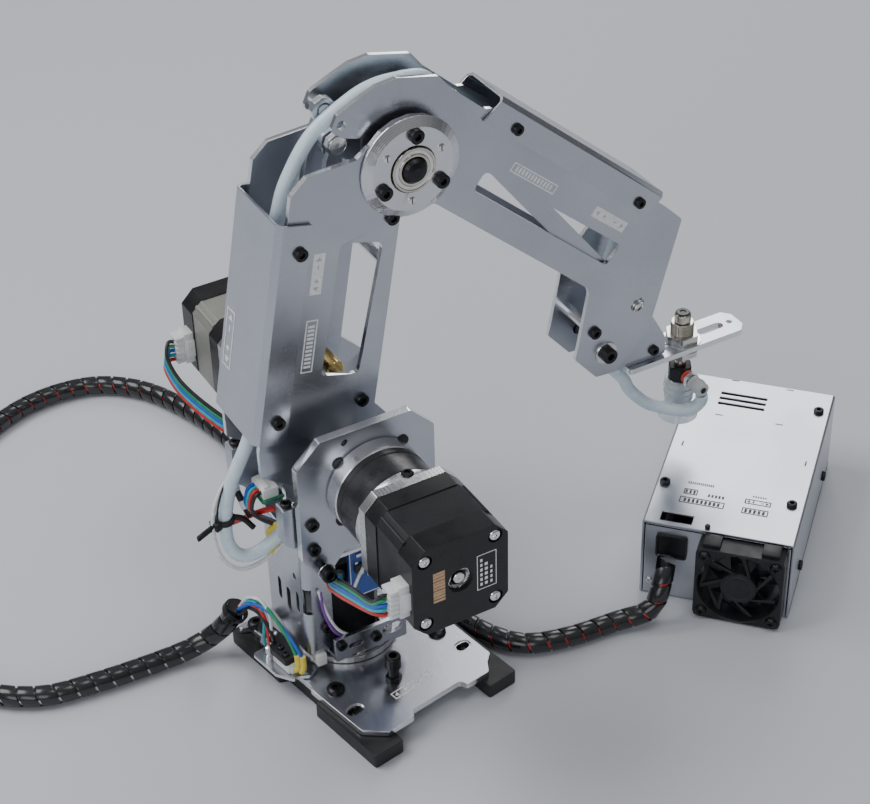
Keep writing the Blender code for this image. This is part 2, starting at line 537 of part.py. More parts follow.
# ---- air tube in pieces, one per body it rides on ----
def make_air_tube():
    tube("air_tube_turret", [(-19.0, 5.5, 88.5), (-31.0, 4.0, 85.8), (-46.0, 1.0, 87.0),
                             (-55.0, -1.0, 96.0), (-57.0, -2.0, 110.0)], 5, TUBE_R, SILICONE, TURN)
    tube("air_tube_lower", [(-36.0, -2.0, 10.0), (-40.5, -1.0, 45.0), (-44.0, -1.0, 80.0),
                            (-44.5, -1.0, 108.0)], 4, TUBE_R, SILICONE, LOWER)
    tube("air_tube_elbow", [(-14.5, 0.0, 28.5), (-4.0, 0.0, 33.0), (8.0, 0.0, 33.5)], 5,
         TUBE_R, SILICONE, TRIANGLE)
    tube("air_tube_fore", [(26.0, 1.5, 34.0), (55.0, 2.5, 40.0), (85.0, 2.5, 45.5), (110.0, 2.5, 48.0)],
         4, TUBE_R, SILICONE, FORE)
    tube("air_tube_hand", [(13.0, 2.0, -22.0), (18.3, 0.5, -27.0), (21.5, -0.5, -35.5),
                           (28.7, -2.3, -44.0), (34.5, -5.0, -47.3), (42.0, -10.6, -48.8),
                           (47.0, -14.2, -47.4), (50.4, -15.4, -43.6), (50.8, -15.2, -40.2)],
         4, TUBE_R, SILICONE, HAND)


# ---- controller box ----
def make_box():
    w, l, h, t = BOX_W, BOX_L, BOX_H, 1.2
    # tray: floor, front and back walls
    tray = [(0.2, 0.4), (l - 0.2, 0.4), (l - 0.2, h - 1.6), (l - 0.2 - t, h - 1.6),
            (l - 0.2 - t, 0.4 + t), (0.2 + t, 0.4 + t), (0.2 + t, h - 1.6), (0.2, h - 1.6)]
    prism("box_tray", [tray], 1.6, w - 1.6, "yz", ALU, BOX)
    cover = [(0.0, 0.4), (t, 0.4), (t, h - t), (w - t, h - t), (w - t, 0.4), (w, 0.4), (w, h - 0.8),
             (w - 0.8, h), (0.8, h), (0.0, h - 0.8)]
    bm_cover = prism("box_cover", [cover], 0.0, l, "xz", ALU, BOX)
    cut_slots(bm_cover)
    fan = [(FAN_X - 20, FAN_Z - 20), (FAN_X + 20, FAN_Z - 20), (FAN_X + 20, FAN_Z + 20),
           (FAN_X - 20, FAN_Z + 20)]
    holes = [circle(FAN_X, FAN_Z, 18.8, 32)]
    for sx in (-16, 16):
        for sz in (-16, 16):
            holes.append(circle(FAN_X + sx, FAN_Z + sz, 1.6, 8))
    prism("fan_frame", [rounded(fan, 3.0, 2)] + holes, -10.2, -0.3, "xz", BLACK_PLASTIC, BOX)
    make_rotor()
    block("box_board", 6.0, w - 6.0, 14.0, l - 14.0, 7.0, 8.6, PCB_GREEN, BOX)


def cut_slots(obj):
    """Three vent slots, a small window and a cable notch through box sheet."""
    for i, (x0, x1, y0, y1) in enumerate(((15.8, 38.0, 95.2, 97.0), (15.8, 38.0, 99.4, 101.2),
                                          (15.8, 38.0, 103.6, 105.4), (7.5, 22.0, 2.4, 8.6))):
        cutter = block("slot_cutter_%d" % i, x0, x1, y0, y1, BOX_H - 4.0, BOX_H + 4.0, ALU, BOX)
        cutter.hide_render = True
        cutter.display_type = "WIRE"
        mod = obj.modifiers.new("slot_%d" % i, "BOOLEAN")
        mod.operation = "DIFFERENCE"
        mod.solver = "EXACT"
        mod.object = cutter


def make_rotor():
    """Hub with seven slanted blades, one closed body."""
    bm = bmesh.new()
    n = 28
    rows = []
    for r, y in ((8.4, -4.2), (8.4, 3.4)):
        rows.append([bm.verts.new((r * cos(2 * pi * i / n), y, r * sin(2 * pi * i / n)))
                     for i in range(n)])
    bm.faces.new(rows[0])
    bm.faces.new(rows[1])
    for i in range(n):
        j = (i + 1) % n
        if i % 4 != 0:
            bm.faces.new((rows[0][i], rows[0][j], rows[1][j], rows[1][i]))
            continue
        # blade grows out of this side face of the hub
        inner = [rows[0][i], rows[0][j], rows[1][j], rows[1][i]]
        outer = []
        for k, (turn, y) in enumerate(((0.55, -3.6), (0.68, -3.6), (0.10, 3.0), (-0.03, 3.0))):
            a = 2 * pi * i / n + turn
            outer.append(bm.verts.new((17.6 * cos(a), y, 17.6 * sin(a))))
        for k in range(4):
            m = (k + 1) % 4
            bm.faces.new((inner[k], inner[m], outer[m], outer[k]))
        bm.faces.new(outer)
    return finish("fan_rotor", bm, BLACK_PLASTIC, FAN, None)


# ---- wrapped harness on the table ----
def make_harness():
    z = CABLE_R + 0.3
    route = [(-39.5, 25.5, 30.0), (-44.0, 31.0, 18.0), (-52.0, 37.5, 8.5), (-66.0, 42.0, z), (-99.5, 50.0, z),
             (-125.0, 60.0, z), (-143.0, 82.0, z), (-150.0, 118.0, z), (-138.0, 160.0, z),
             (-108.0, 200.0, z), (-66.0, 232.0, z), (-22.0, 248.0, z), (14.0, 243.0, z),
             (35.0, 222.0, z), (44.0, 190.0, z), (46.0, 150.0, z), (46.5, 100.0, z), (47.0, 50.0, z),
             (47.0, 0.0, z), (47.5, -32.0, z), (56.0, -54.0, z), (74.0, -65.0, z), (98.0, -72.0, z),
             (112.0, -79.5, 9.0), (119.0, -79.0, 20.0), (126.8, -74.0, 28.6)]
    tube("harness_cable", route, 2, CABLE_R, WRAP, BASE)


make_base()
make_turntable()
make_drive("shoulder", -1.0)
make_drive("elbow", 1.0)
make_lower_arm()
make_links()
make_forearm()
make_hand()
make_air_tube()
make_box()
make_harness()
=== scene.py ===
# Looks of the desktop robot arm: materials, fasteners, wiring, air tube, harness and marks.
# Pieces are drawn in millimetres in the frames of the arm and ride on the matching body.
import json
import bpy
import bmesh
from math import radians, sin, cos, pi, hypot, atan2
from mathutils import Vector, Matrix
from mathutils.geometry import tessellate_polygon
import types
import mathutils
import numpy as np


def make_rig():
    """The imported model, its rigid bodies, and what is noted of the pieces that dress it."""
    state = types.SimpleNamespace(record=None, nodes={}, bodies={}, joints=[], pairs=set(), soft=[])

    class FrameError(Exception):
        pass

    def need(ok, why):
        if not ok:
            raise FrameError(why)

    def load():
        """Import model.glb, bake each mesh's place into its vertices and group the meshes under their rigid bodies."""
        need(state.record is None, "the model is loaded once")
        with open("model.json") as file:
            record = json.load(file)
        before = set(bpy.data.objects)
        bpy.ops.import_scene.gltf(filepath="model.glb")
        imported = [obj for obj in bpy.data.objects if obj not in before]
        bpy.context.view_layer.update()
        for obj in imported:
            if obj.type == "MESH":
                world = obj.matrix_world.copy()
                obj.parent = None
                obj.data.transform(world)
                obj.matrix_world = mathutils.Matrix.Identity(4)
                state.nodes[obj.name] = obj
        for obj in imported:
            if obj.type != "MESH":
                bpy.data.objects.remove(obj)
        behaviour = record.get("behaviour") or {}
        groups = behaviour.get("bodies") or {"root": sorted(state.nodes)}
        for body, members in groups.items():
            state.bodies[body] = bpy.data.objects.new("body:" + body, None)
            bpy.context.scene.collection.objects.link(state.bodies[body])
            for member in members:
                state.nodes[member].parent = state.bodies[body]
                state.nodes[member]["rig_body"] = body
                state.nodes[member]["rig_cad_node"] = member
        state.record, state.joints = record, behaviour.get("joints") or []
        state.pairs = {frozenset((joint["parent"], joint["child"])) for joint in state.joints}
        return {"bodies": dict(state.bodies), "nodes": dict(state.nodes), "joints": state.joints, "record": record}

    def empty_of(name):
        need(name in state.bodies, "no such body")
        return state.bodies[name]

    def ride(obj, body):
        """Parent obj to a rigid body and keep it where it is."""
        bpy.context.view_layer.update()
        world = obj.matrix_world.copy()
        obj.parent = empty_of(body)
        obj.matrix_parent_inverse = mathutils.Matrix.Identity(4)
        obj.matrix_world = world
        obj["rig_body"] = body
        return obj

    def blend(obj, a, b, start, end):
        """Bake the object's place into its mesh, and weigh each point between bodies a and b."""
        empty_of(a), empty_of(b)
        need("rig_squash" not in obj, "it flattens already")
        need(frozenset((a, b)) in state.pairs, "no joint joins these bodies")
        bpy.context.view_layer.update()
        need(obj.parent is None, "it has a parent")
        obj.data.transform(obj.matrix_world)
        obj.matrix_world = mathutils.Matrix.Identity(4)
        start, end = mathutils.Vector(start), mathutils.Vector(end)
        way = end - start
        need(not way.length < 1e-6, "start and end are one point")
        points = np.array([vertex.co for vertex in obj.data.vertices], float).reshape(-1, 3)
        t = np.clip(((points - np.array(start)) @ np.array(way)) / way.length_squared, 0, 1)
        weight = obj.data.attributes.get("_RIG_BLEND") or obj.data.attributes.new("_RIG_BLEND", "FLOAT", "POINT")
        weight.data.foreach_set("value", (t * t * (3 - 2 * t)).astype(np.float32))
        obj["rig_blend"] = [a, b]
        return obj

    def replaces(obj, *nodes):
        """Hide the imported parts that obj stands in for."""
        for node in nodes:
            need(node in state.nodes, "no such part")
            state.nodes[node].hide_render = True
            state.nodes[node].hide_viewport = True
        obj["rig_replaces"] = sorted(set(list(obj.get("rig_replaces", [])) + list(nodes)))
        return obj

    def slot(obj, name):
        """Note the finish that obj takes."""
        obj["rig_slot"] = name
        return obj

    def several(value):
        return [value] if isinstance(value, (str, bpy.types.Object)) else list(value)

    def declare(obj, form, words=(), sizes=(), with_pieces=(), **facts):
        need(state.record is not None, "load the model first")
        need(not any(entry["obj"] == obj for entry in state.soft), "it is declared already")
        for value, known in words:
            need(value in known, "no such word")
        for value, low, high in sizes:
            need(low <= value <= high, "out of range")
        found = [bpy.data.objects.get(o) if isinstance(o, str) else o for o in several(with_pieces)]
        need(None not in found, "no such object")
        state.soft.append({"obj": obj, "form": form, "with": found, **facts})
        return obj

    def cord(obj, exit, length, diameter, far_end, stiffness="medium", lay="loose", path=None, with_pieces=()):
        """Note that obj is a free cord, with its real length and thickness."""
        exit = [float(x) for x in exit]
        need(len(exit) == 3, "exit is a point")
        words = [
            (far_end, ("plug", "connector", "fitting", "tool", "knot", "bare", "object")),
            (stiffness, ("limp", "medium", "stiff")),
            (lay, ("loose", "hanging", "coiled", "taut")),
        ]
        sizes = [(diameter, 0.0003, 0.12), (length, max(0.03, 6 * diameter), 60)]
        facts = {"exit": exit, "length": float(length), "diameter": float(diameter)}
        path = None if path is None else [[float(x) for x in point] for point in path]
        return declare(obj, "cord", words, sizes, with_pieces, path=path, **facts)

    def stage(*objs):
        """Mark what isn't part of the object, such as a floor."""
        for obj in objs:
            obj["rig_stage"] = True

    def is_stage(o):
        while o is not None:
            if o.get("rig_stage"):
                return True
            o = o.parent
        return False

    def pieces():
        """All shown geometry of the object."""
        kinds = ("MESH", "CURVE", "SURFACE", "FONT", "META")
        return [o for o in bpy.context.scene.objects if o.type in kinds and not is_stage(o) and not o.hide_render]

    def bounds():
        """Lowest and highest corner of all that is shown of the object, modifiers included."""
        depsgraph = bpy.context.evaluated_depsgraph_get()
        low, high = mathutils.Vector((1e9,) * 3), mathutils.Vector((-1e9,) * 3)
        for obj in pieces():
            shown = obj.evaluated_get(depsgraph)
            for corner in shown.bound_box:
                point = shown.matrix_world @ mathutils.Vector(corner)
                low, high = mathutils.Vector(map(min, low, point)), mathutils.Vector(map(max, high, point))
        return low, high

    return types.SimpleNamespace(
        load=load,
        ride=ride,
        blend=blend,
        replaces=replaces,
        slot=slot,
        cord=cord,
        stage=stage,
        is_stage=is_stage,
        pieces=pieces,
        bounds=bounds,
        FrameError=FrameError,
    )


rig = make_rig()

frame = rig.load()
CAD_LOW, CAD_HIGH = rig.bounds()
NODE = frame["nodes"]
JOINT = {j["name"]: j for j in frame["joints"]}
MM = 0.001

# ---- driving sizes, as in the frame (mm) ----
SIDE_OUT = 33.0            # outer face of the motor side plates
MOTOR_W = 42.3             # square motor body
ARM_OUT = 17.5             # outer face of the lower arm plates
FORE_OUT = 12.0            # outer face of the forearm plates
PLATE_TOP = 10.2           # top of the base plate
CUP_X = 49.5               # suction axis ahead of the wrist
TUBE_R = 2.9               # air tube radius
CABLE_R = 4.7              # wrapped harness radius
BOX_YAW = -57.2            # controller box heading, degrees
BOX_AT = (124.2, -60.1)    # front left corner of the box
BOX_W = 69.2
BOX_L = 116.7
BOX_H = 42.7
TOP_PIN = (18.0, 16.0)     # upper link pin, from the elbow or wrist axis
REAR_PIN = (-26.0, 12.7)   # level link pin, from the elbow axis


# ---- frames of the arm (mm), from the joints ----
def joint_point(name):
    return Vector(JOINT[name]["pos_m"]) / MM


def spot(origin, heading=0.0, pitch=0.0):
    return (Matrix.Translation(origin) @ Matrix.Rotation(heading, 4, "Z")
            @ Matrix.Rotation(pitch, 4, "Y"))


HINGE = Vector(JOINT["shoulder"]["axis"])
HEADING = atan2(-HINGE.x, HINGE.y)
SHOULDER = joint_point("shoulder")
ELBOW = joint_point("elbow")
WRIST = joint_point("wrist_level")
LEVEL_BACK = Matrix.Rotation(-HEADING, 3, "Z")
UP_ARM = LEVEL_BACK @ (ELBOW - SHOULDER)
OUT_ARM = LEVEL_BACK @ (WRIST - ELBOW)
LEAN = atan2(UP_ARM.x, UP_ARM.z)
FORE_PITCH = atan2(-OUT_ARM.z, OUT_ARM.x)
FORE_LEN = OUT_ARM.length

BASE = (Matrix.Identity(4), "base")
TURN = (spot((0, 0, 0), HEADING), "turret")
LOWER = (spot(SHOULDER, HEADING, LEAN), "lower_arm")
ELBOW_HUB = (spot(ELBOW, HEADING), "lower_arm")
TRIANGLE = (spot(ELBOW, HEADING), "triangle")
FORE = (spot(ELBOW, HEADING, FORE_PITCH), "forearm")
HAND = (spot(WRIST, HEADING), "hand")
CUP = (spot(WRIST, HEADING) @ Matrix.Translation((CUP_X, 0, 0)), "sucker")
BOX = (spot((BOX_AT[0], BOX_AT[1], 0), radians(BOX_YAW)), "base")
FAN_CENTRE = joint_point("fan_spin")
FAN = (spot(FAN_CENTRE, radians(BOX_YAW)), "base")
ROTOR = (FAN[0], "rotor")


# ---- camera ----
def camera():
    azimuth, elevation, roll = radians(-39.01), radians(36.64), radians(-1.61)
    back = Vector((sin(azimuth) * cos(elevation), -cos(azimuth) * cos(elevation), sin(elevation)))
    level = Vector((cos(azimuth), sin(azimuth), 0.0))
    over = back.cross(level)
    right = level * cos(roll) + over * sin(roll)
    up = over * cos(roll) - level * sin(roll)
    data = bpy.data.cameras.new("view")
    data.sensor_width = 36.0
    data.lens = 87.93
    data.clip_start, data.clip_end = 0.05, 20.0
    obj = bpy.data.objects.new("view", data)
    bpy.context.scene.collection.objects.link(obj)
    turn = Matrix((right, up, back)).transposed().to_4x4()
    obj.matrix_world = Matrix.Translation((-0.41028, -0.57386, 0.65916)) @ turn
    bpy.context.scene.camera = obj


def area_light(name, at, size, power, aim=(0.05, -0.02, 0.1), tint=(1.0, 1.0, 1.0)):
    data = bpy.data.lights.new(name, "AREA")
    data.shape = "RECTANGLE"
    data.size, data.size_y = size
    data.energy = power
    data.color = tint
    obj = bpy.data.objects.new(name, data)
    bpy.context.scene.collection.objects.link(obj)
    at = Vector(at)
    obj.matrix_world = (Matrix.Translation(at)
                        @ (at - Vector(aim)).to_track_quat("Z", "Y").to_matrix().to_4x4())


def studio():
    area_light("key", (-0.55, 0.55, 1.25), (0.9, 0.7), 11.0)
    area_light("fill", (-1.25, -0.9, 0.75), (1.0, 0.8), 6.0, tint=(0.93, 0.96, 1.0))
    area_light("rim", (1.1, 0.75, 0.95), (0.5, 0.9), 5.5)
    area_light("top", (0.25, -0.35, 1.5), (0.7, 0.5), 3.5)
    world = bpy.data.worlds.new("studio")
    bpy.context.scene.world = world
    world.use_nodes = True
    tree = world.node_tree
    place = tree.nodes.new("ShaderNodeTexCoord")
    split = tree.nodes.new("ShaderNodeSeparateXYZ")
    ramp = tree.nodes.new("ShaderNodeValToRGB")
    tree.links.new(place.outputs["Generated"], split.inputs[0])
    tree.links.new(split.outputs["Z"], ramp.inputs[0])
    stops = ((0.0, 0.30), (0.12, 0.34), (0.35, 0.62), (0.8, 0.9))
    while len(ramp.color_ramp.elements) < len(stops):
        ramp.color_ramp.elements.new(0.5)
    for element, (where, level) in zip(ramp.color_ramp.elements, stops):
        element.position = where
        element.color = (level, level * 1.01, level * 1.04, 1.0)
    back = tree.nodes["Background"]
    back.inputs["Strength"].default_value = 0.38
    tree.links.new(ramp.outputs[0], back.inputs["Color"])
    # plain pale floor
    bm = bmesh.new()
    half = 6.0
    bm.faces.new([bm.verts.new((x, y, -0.0002)) for x, y in
                  ((-half, -half), (half, -half), (half, half), (-half, half))])
    mesh = bpy.data.meshes.new("floor")
    bm.to_mesh(mesh)
    bm.free()
    floor = bpy.data.objects.new("floor", mesh)
    bpy.context.scene.collection.objects.link(floor)
    mat = bpy.data.materials.new("pale_floor")
    mat.use_nodes = True
    bsdf = mat.node_tree.nodes["Principled BSDF"]
    bsdf.inputs["Base Color"].default_value = (0.60, 0.62, 0.66, 1.0)
    bsdf.inputs["Roughness"].default_value = 0.85
    mesh.materials.append(mat)
    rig.stage(floor)


# ---- materials ----
class Maker:
    """A Principled material with its nodes at hand."""

    def __init__(self, name, metallic=0.0, **sockets):
        self.mat = bpy.data.materials.new(name)
        self.mat.use_nodes = True
        self.tree = self.mat.node_tree
        self.bsdf = self.tree.nodes["Principled BSDF"]
        self.bsdf.inputs["Metallic"].default_value = metallic
        for socket, value in sockets.items():
            self.bsdf.inputs[socket.replace("_", " ")].default_value = value
        self.coords = self.tree.nodes.new("ShaderNodeTexCoord")

    def node(self, kind, **inputs):
        made = self.tree.nodes.new(kind)
        for key, value in inputs.items():
            if hasattr(value, "is_output"):
                self.tree.links.new(value, made.inputs[key.replace("_", " ")])
            else:
                made.inputs[key.replace("_", " ")].default_value = value
        return made

    def link(self, a, b):
        self.tree.links.new(a, b)

    def place(self, stretch=(1.0, 1.0, 1.0), at=(0.0, 0.0, 0.0), turn=(0.0, 0.0, 0.0)):
        made = self.tree.nodes.new("ShaderNodeMapping")
        made.vector_type = "TEXTURE"
        made.inputs["Location"].default_value = at
        made.inputs["Rotation"].default_value = turn
        made.inputs["Scale"].default_value = tuple(1.0 / s for s in stretch)
        self.link(self.coords.outputs["Object"], made.inputs["Vector"])
        return made.outputs["Vector"]

    def noise(self, scale, detail=3.0, vector=None, rough=0.5):
        made = self.node("ShaderNodeTexNoise", Scale=scale, Detail=detail, Roughness=rough)
        self.link(vector or self.coords.outputs["Object"], made.inputs["Vector"])
        return made.outputs["Fac"]

    def spread(self, value, low, high, start=0.3, end=0.7):
        made = self.node("ShaderNodeMapRange", From_Min=start, From_Max=end, To_Min=low, To_Max=high)
        self.link(value, made.inputs["Value"])
        return made.outputs["Result"]

    def mix(self, factor, a, b):
        made = self.tree.nodes.new("ShaderNodeMix")
        made.data_type = "RGBA"
        ends = [s for s in made.inputs if s.type == "RGBA"]
        for socket, value in zip(ends, (a, b)):
            if hasattr(value, "is_output"):
                self.link(value, socket)
            else:
                socket.default_value = (value[0], value[1], value[2], 1.0)
        self.link(factor, made.inputs[0])
        return [s for s in made.outputs if s.type == "RGBA"][0]

    def maths(self, operation, a, b=0.0):
        made = self.tree.nodes.new("ShaderNodeMath")
        made.operation = operation
        for socket, value in zip(made.inputs, (a, b)):
            if hasattr(value, "is_output"):
                self.link(value, socket)
            else:
                socket.default_value = value
        return made.outputs[0]

    def color(self, value):
        self.link(value, self.bsdf.inputs["Base Color"])

    def rough(self, value):
        self.link(value, self.bsdf.inputs["Roughness"])

    def bump(self, height, strength, depth):
        made = self.node("ShaderNodeBump", Strength=strength, Distance=depth)
        self.link(height, made.inputs["Height"])
        self.link(made.outputs["Normal"], self.bsdf.inputs["Normal"])


def tinted(color, gain):
    return tuple(min(1.0, c * gain) for c in color)


def sheet_metal(name, axis, color=(0.53, 0.55, 0.60), rough=0.30):
    """Satin blasted sheet; its cut edges are painted brighter, partly bare cut metal and partly a painted edge
    highlight; axis is the sheet's normal at rest.
    """
    m = Maker(name, metallic=1.0)
    cloud = m.noise(26.0, 4.0)
    fine = m.noise(5200.0, 2.0)
    smear = m.noise(9.0, 3.0, m.place((1.0, 1.0, 7.0), turn=(0.2, 0.5, 0.0)))
    face = m.mix(m.spread(cloud, 0.0, 1.0), tinted(color, 0.93), tinted(color, 1.06))
    dot = m.tree.nodes.new("ShaderNodeVectorMath")
    dot.operation = "DOT_PRODUCT"
    m.link(m.coords.outputs["Normal"], dot.inputs[0])
    dot.inputs[1].default_value = axis
    # faces across the sheet are painted near white: bare cut metal with a painted edge highlight
    edge = m.spread(m.maths("ABSOLUTE", dot.outputs["Value"]), 1.0, 0.0, 0.25, 0.75)
    m.color(m.mix(edge, face, (0.86, 0.87, 0.89)))
    base = m.spread(smear, rough - 0.05, rough + 0.06)
    grainy = m.maths("ADD", base, m.spread(fine, -0.03, 0.03))
    m.rough(m.maths("SUBTRACT", grainy, m.maths("MULTIPLY", edge, 0.08)))
    m.bump(fine, 0.10, 0.00004)
    return m.mat


def bent_metal(name, color=(0.53, 0.55, 0.60), rough=0.27):
    """Satin sheet that is folded, with the same finish on every face."""
    m = Maker(name, metallic=1.0)
    cloud = m.noise(30.0, 4.0)
    fine = m.noise(5200.0, 2.0)
    m.color(m.mix(m.spread(cloud, 0.0, 1.0), tinted(color, 0.93), tinted(color, 1.07)))
    m.rough(m.maths("ADD", m.spread(cloud, rough - 0.04, rough + 0.05), m.spread(fine, -0.03, 0.03)))
    m.bump(fine, 0.10, 0.00004)
    return m.mat


def turned_metal(name, centre, color=(0.72, 0.72, 0.73), rough=0.24, pitch=0.00035):
    """Lathe-turned metal with fine rings about the hinge direction through centre (m)."""
    m = Maker(name, metallic=1.0)
    m.bsdf.inputs["Anisotropic"].default_value = 0.35
    vector = m.place(at=centre, turn=(radians(90.0), 0.0, HEADING))
    wave = m.tree.nodes.new("ShaderNodeTexWave")
    wave.wave_type = "RINGS"
    wave.rings_direction = "Z"
    wave.inputs["Scale"].default_value = 1.0 / (pitch * 6.5)
    wave.inputs["Distortion"].default_value = 0.6
    wave.inputs["Detail"].default_value = 2.0
    m.link(vector, wave.inputs["Vector"])
    cloud = m.noise(60.0, 3.0)
    m.color(m.mix(m.spread(cloud, 0.0, 1.0), tinted(color, 0.94), tinted(color, 1.06)))
    m.rough(m.maths("ADD", m.spread(wave.outputs["Fac"], -0.04, 0.05, 0.0, 1.0),
                    m.spread(cloud, rough - 0.03, rough + 0.04)))
    m.bump(wave.outputs["Fac"], 0.12, 0.00003)
    return m.mat


def plain_metal(name, color, rough, spread=0.06, scale=180.0, bump=0.06):
    m = Maker(name, metallic=1.0)
    cloud = m.noise(scale, 4.0)
    fine = m.noise(3000.0, 2.0)
    m.color(m.mix(m.spread(cloud, 0.0, 1.0), tinted(color, 0.86), tinted(color, 1.12)))
    m.rough(m.spread(cloud, rough - spread, rough + spread))
    m.bump(fine, bump, 0.00004)
    return m.mat


def coated(name, color, rough, spread=0.06, scale=220.0, bump=0.12, depth=0.00005, gain=1.35,
           **sockets):
    """Paint, plastic, rubber or solder mask: colour drift, grain and soft gloss changes."""
    m = Maker(name, **sockets)
    cloud = m.noise(scale, 4.0)
    fine = m.noise(scale * 14.0, 2.0)
    m.color(m.mix(m.spread(cloud, 0.0, 1.0), tinted(color, 0.85), tinted(color, gain)))
    m.rough(m.maths("ADD", m.spread(cloud, rough - spread, rough + spread), m.spread(fine, -0.03, 0.03)))
    m.bump(fine, bump, depth)
    return m.mat


def board_mask(name, color, trace):
    """Printed board: solder mask over thin copper tracks."""
    m = Maker(name, Coat_Weight=0.4, Coat_Roughness=0.15)
    brick = m.tree.nodes.new("ShaderNodeTexBrick")
    brick.inputs["Scale"].default_value = 260.0
    brick.inputs["Mortar Size"].default_value = 0.035
    brick.inputs["Color1"].default_value = (0, 0, 0, 1)
    brick.inputs["Color2"].default_value = (0.25, 0.25, 0.25, 1)
    brick.inputs["Mortar"].default_value = (1, 1, 1, 1)
    m.link(m.place(turn=(0.7, 0.4, 0.9)), brick.inputs["Vector"])
    gray = m.node("ShaderNodeRGBToBW")
    m.link(brick.outputs["Color"], gray.inputs[0])
    m.color(m.mix(gray.outputs[0], color, trace))
    m.rough(m.spread(m.noise(400.0), 0.28, 0.42))
    m.bump(gray.outputs[0], 0.2, 0.00004)
    return m.mat


def stacked_steel(name, color):
    """Edges of the stamped motor laminations: fine lines across the hinge direction."""
    m = Maker(name, metallic=0.7)
    wave = m.tree.nodes.new("ShaderNodeTexWave")
    wave.bands_direction = "Z"
    wave.inputs["Scale"].default_value = 330.0
    wave.inputs["Distortion"].default_value = 0.8
    m.link(m.place(turn=(radians(90.0), 0.0, HEADING)), wave.inputs["Vector"])
    drift = m.noise(90.0, 4.0)
    lines = m.mix(wave.outputs["Fac"], tinted(color, 0.55), tinted(color, 1.15))
    m.color(m.mix(m.spread(drift, 0.0, 0.6), lines, tinted(color, 0.75)))
    m.rough(m.spread(drift, 0.38, 0.55))
    m.bump(wave.outputs["Fac"], 0.35, 0.00006)
    return m.mat


def clear_soft(name, color, rough, transmission, depth=0.002, weight=0.25):
    m = Maker(name, Transmission_Weight=transmission, IOR=1.41, Subsurface_Weight=weight,
              Subsurface_Scale=depth, Coat_Weight=0.25, Coat_Roughness=0.2)
    drift = m.noise(70.0, 3.0)
    fine = m.noise(900.0, 2.0)
    m.color(m.mix(m.spread(drift, 0.0, 1.0), tinted(color, 0.93), tinted(color, 1.05)))
    m.rough(m.spread(drift, rough - 0.05, rough + 0.06))
    m.bump(fine, 0.08, 0.00008)
    return m.mat


NORMAL_HINGE = tuple(HINGE)
SHEET = sheet_metal("satin_sheet", NORMAL_HINGE)
SHEET_FLAT = sheet_metal("satin_sheet_level", (0.0, 0.0, 1.0), rough=0.27)
BENT = bent_metal("satin_folded_sheet")
BOX_SHEET = bent_metal("satin_box_sheet", (0.52, 0.54, 0.59), 0.32)
TURNED_SHOULDER = turned_metal("turned_aluminium_shoulder", tuple(SHOULDER * MM), (0.70, 0.70, 0.71), 0.26)
TURNED_ELBOW = turned_metal("turned_aluminium_elbow", tuple(ELBOW * MM), (0.72, 0.73, 0.75), 0.22)
STEEL = plain_metal("bright_steel", (0.70, 0.70, 0.69), 0.20)
CHROME = plain_metal("chrome", (0.80, 0.80, 0.80), 0.09, 0.03)
NICKEL = plain_metal("nickel_plate", (0.66, 0.61, 0.53), 0.18, 0.05)
BRASS = plain_metal("brass", (0.80, 0.58, 0.22), 0.22, 0.06)
BLACK_STEEL = plain_metal("black_oxide", (0.045, 0.045, 0.048), 0.34, 0.08)
BLACK_ANODISED = coated("black_anodised", (0.018, 0.018, 0.020), 0.30, 0.05, 240.0, 0.10, 0.00004)
MOTOR_PAINT = coated("black_motor_paint", (0.012, 0.012, 0.013), 0.33, 0.05, 160.0, 0.16, 0.00005,
                     Coat_Weight=0.1, Coat_Roughness=0.3, Specular_IOR_Level=0.3)
STACK_DARK = stacked_steel("motor_stack_dark", (0.05, 0.05, 0.055))
STACK_GRAY = stacked_steel("motor_stack_gray", (0.42, 0.42, 0.38))
BLACK_PLASTIC = coated("black_plastic", (0.013, 0.013, 0.015), 0.42, 0.07, 300.0, 0.22, 0.00006,
                       Specular_IOR_Level=0.35)
FAN_PLASTIC = coated("fan_plastic", (0.016, 0.017, 0.019), 0.36, 0.06, 260.0, 0.18, 0.00005,
                     Specular_IOR_Level=0.3)
FOOT_RUBBER = coated("foot_plastic", (0.012, 0.012, 0.014), 0.48, 0.07, 150.0, 0.35, 0.00008)
NYLON = coated("white_nylon", (0.86, 0.87, 0.86), 0.38, 0.06, 200.0, 0.12, 0.00005, gain=1.04,
               Subsurface_Weight=0.12, Subsurface_Scale=0.001)
CLEAR_CAP = clear_soft("milky_cap", (0.88, 0.90, 0.91), 0.30, 0.45)
TUBE_SILICONE = clear_soft("milky_tube", (0.74, 0.88, 1.0), 0.26, 0.04)
CUP_SILICONE = clear_soft("cup_silicone", (0.84, 0.90, 0.95), 0.24, 0.55)
RED_RUBBER = coated("red_seal", (0.62, 0.07, 0.045), 0.45, 0.06, 300.0)
PCB_BLUE = board_mask("blue_board", (0.012, 0.06, 0.30), (0.02, 0.11, 0.45))
PCB_GREEN = board_mask("green_board", (0.008, 0.14, 0.07), (0.012, 0.24, 0.12))
CHIP = coated("chip_resin", (0.02, 0.02, 0.022), 0.5, 0.05, 500.0)
SOLDER = plain_metal("solder", (0.75, 0.75, 0.74), 0.22)
WHITE_INK = coated("white_ink", (0.94, 0.95, 0.96), 0.6, 0.06, 700.0, 0.2, 0.00003, gain=1.08)
GOLD_INK = coated("gold_mark", (0.52, 0.33, 0.19), 0.45, 0.06, 900.0, 0.2, 0.00003)
WRAP = coated("black_spiral_wrap", (0.014, 0.015, 0.017), 0.22, 0.05, 130.0, 0.10, 0.00006,
              Coat_Weight=0.3, Coat_Roughness=0.12)
YELLOW = coated("yellow_sleeve", (0.85, 0.68, 0.10), 0.45, 0.06, 300.0, gain=1.1)
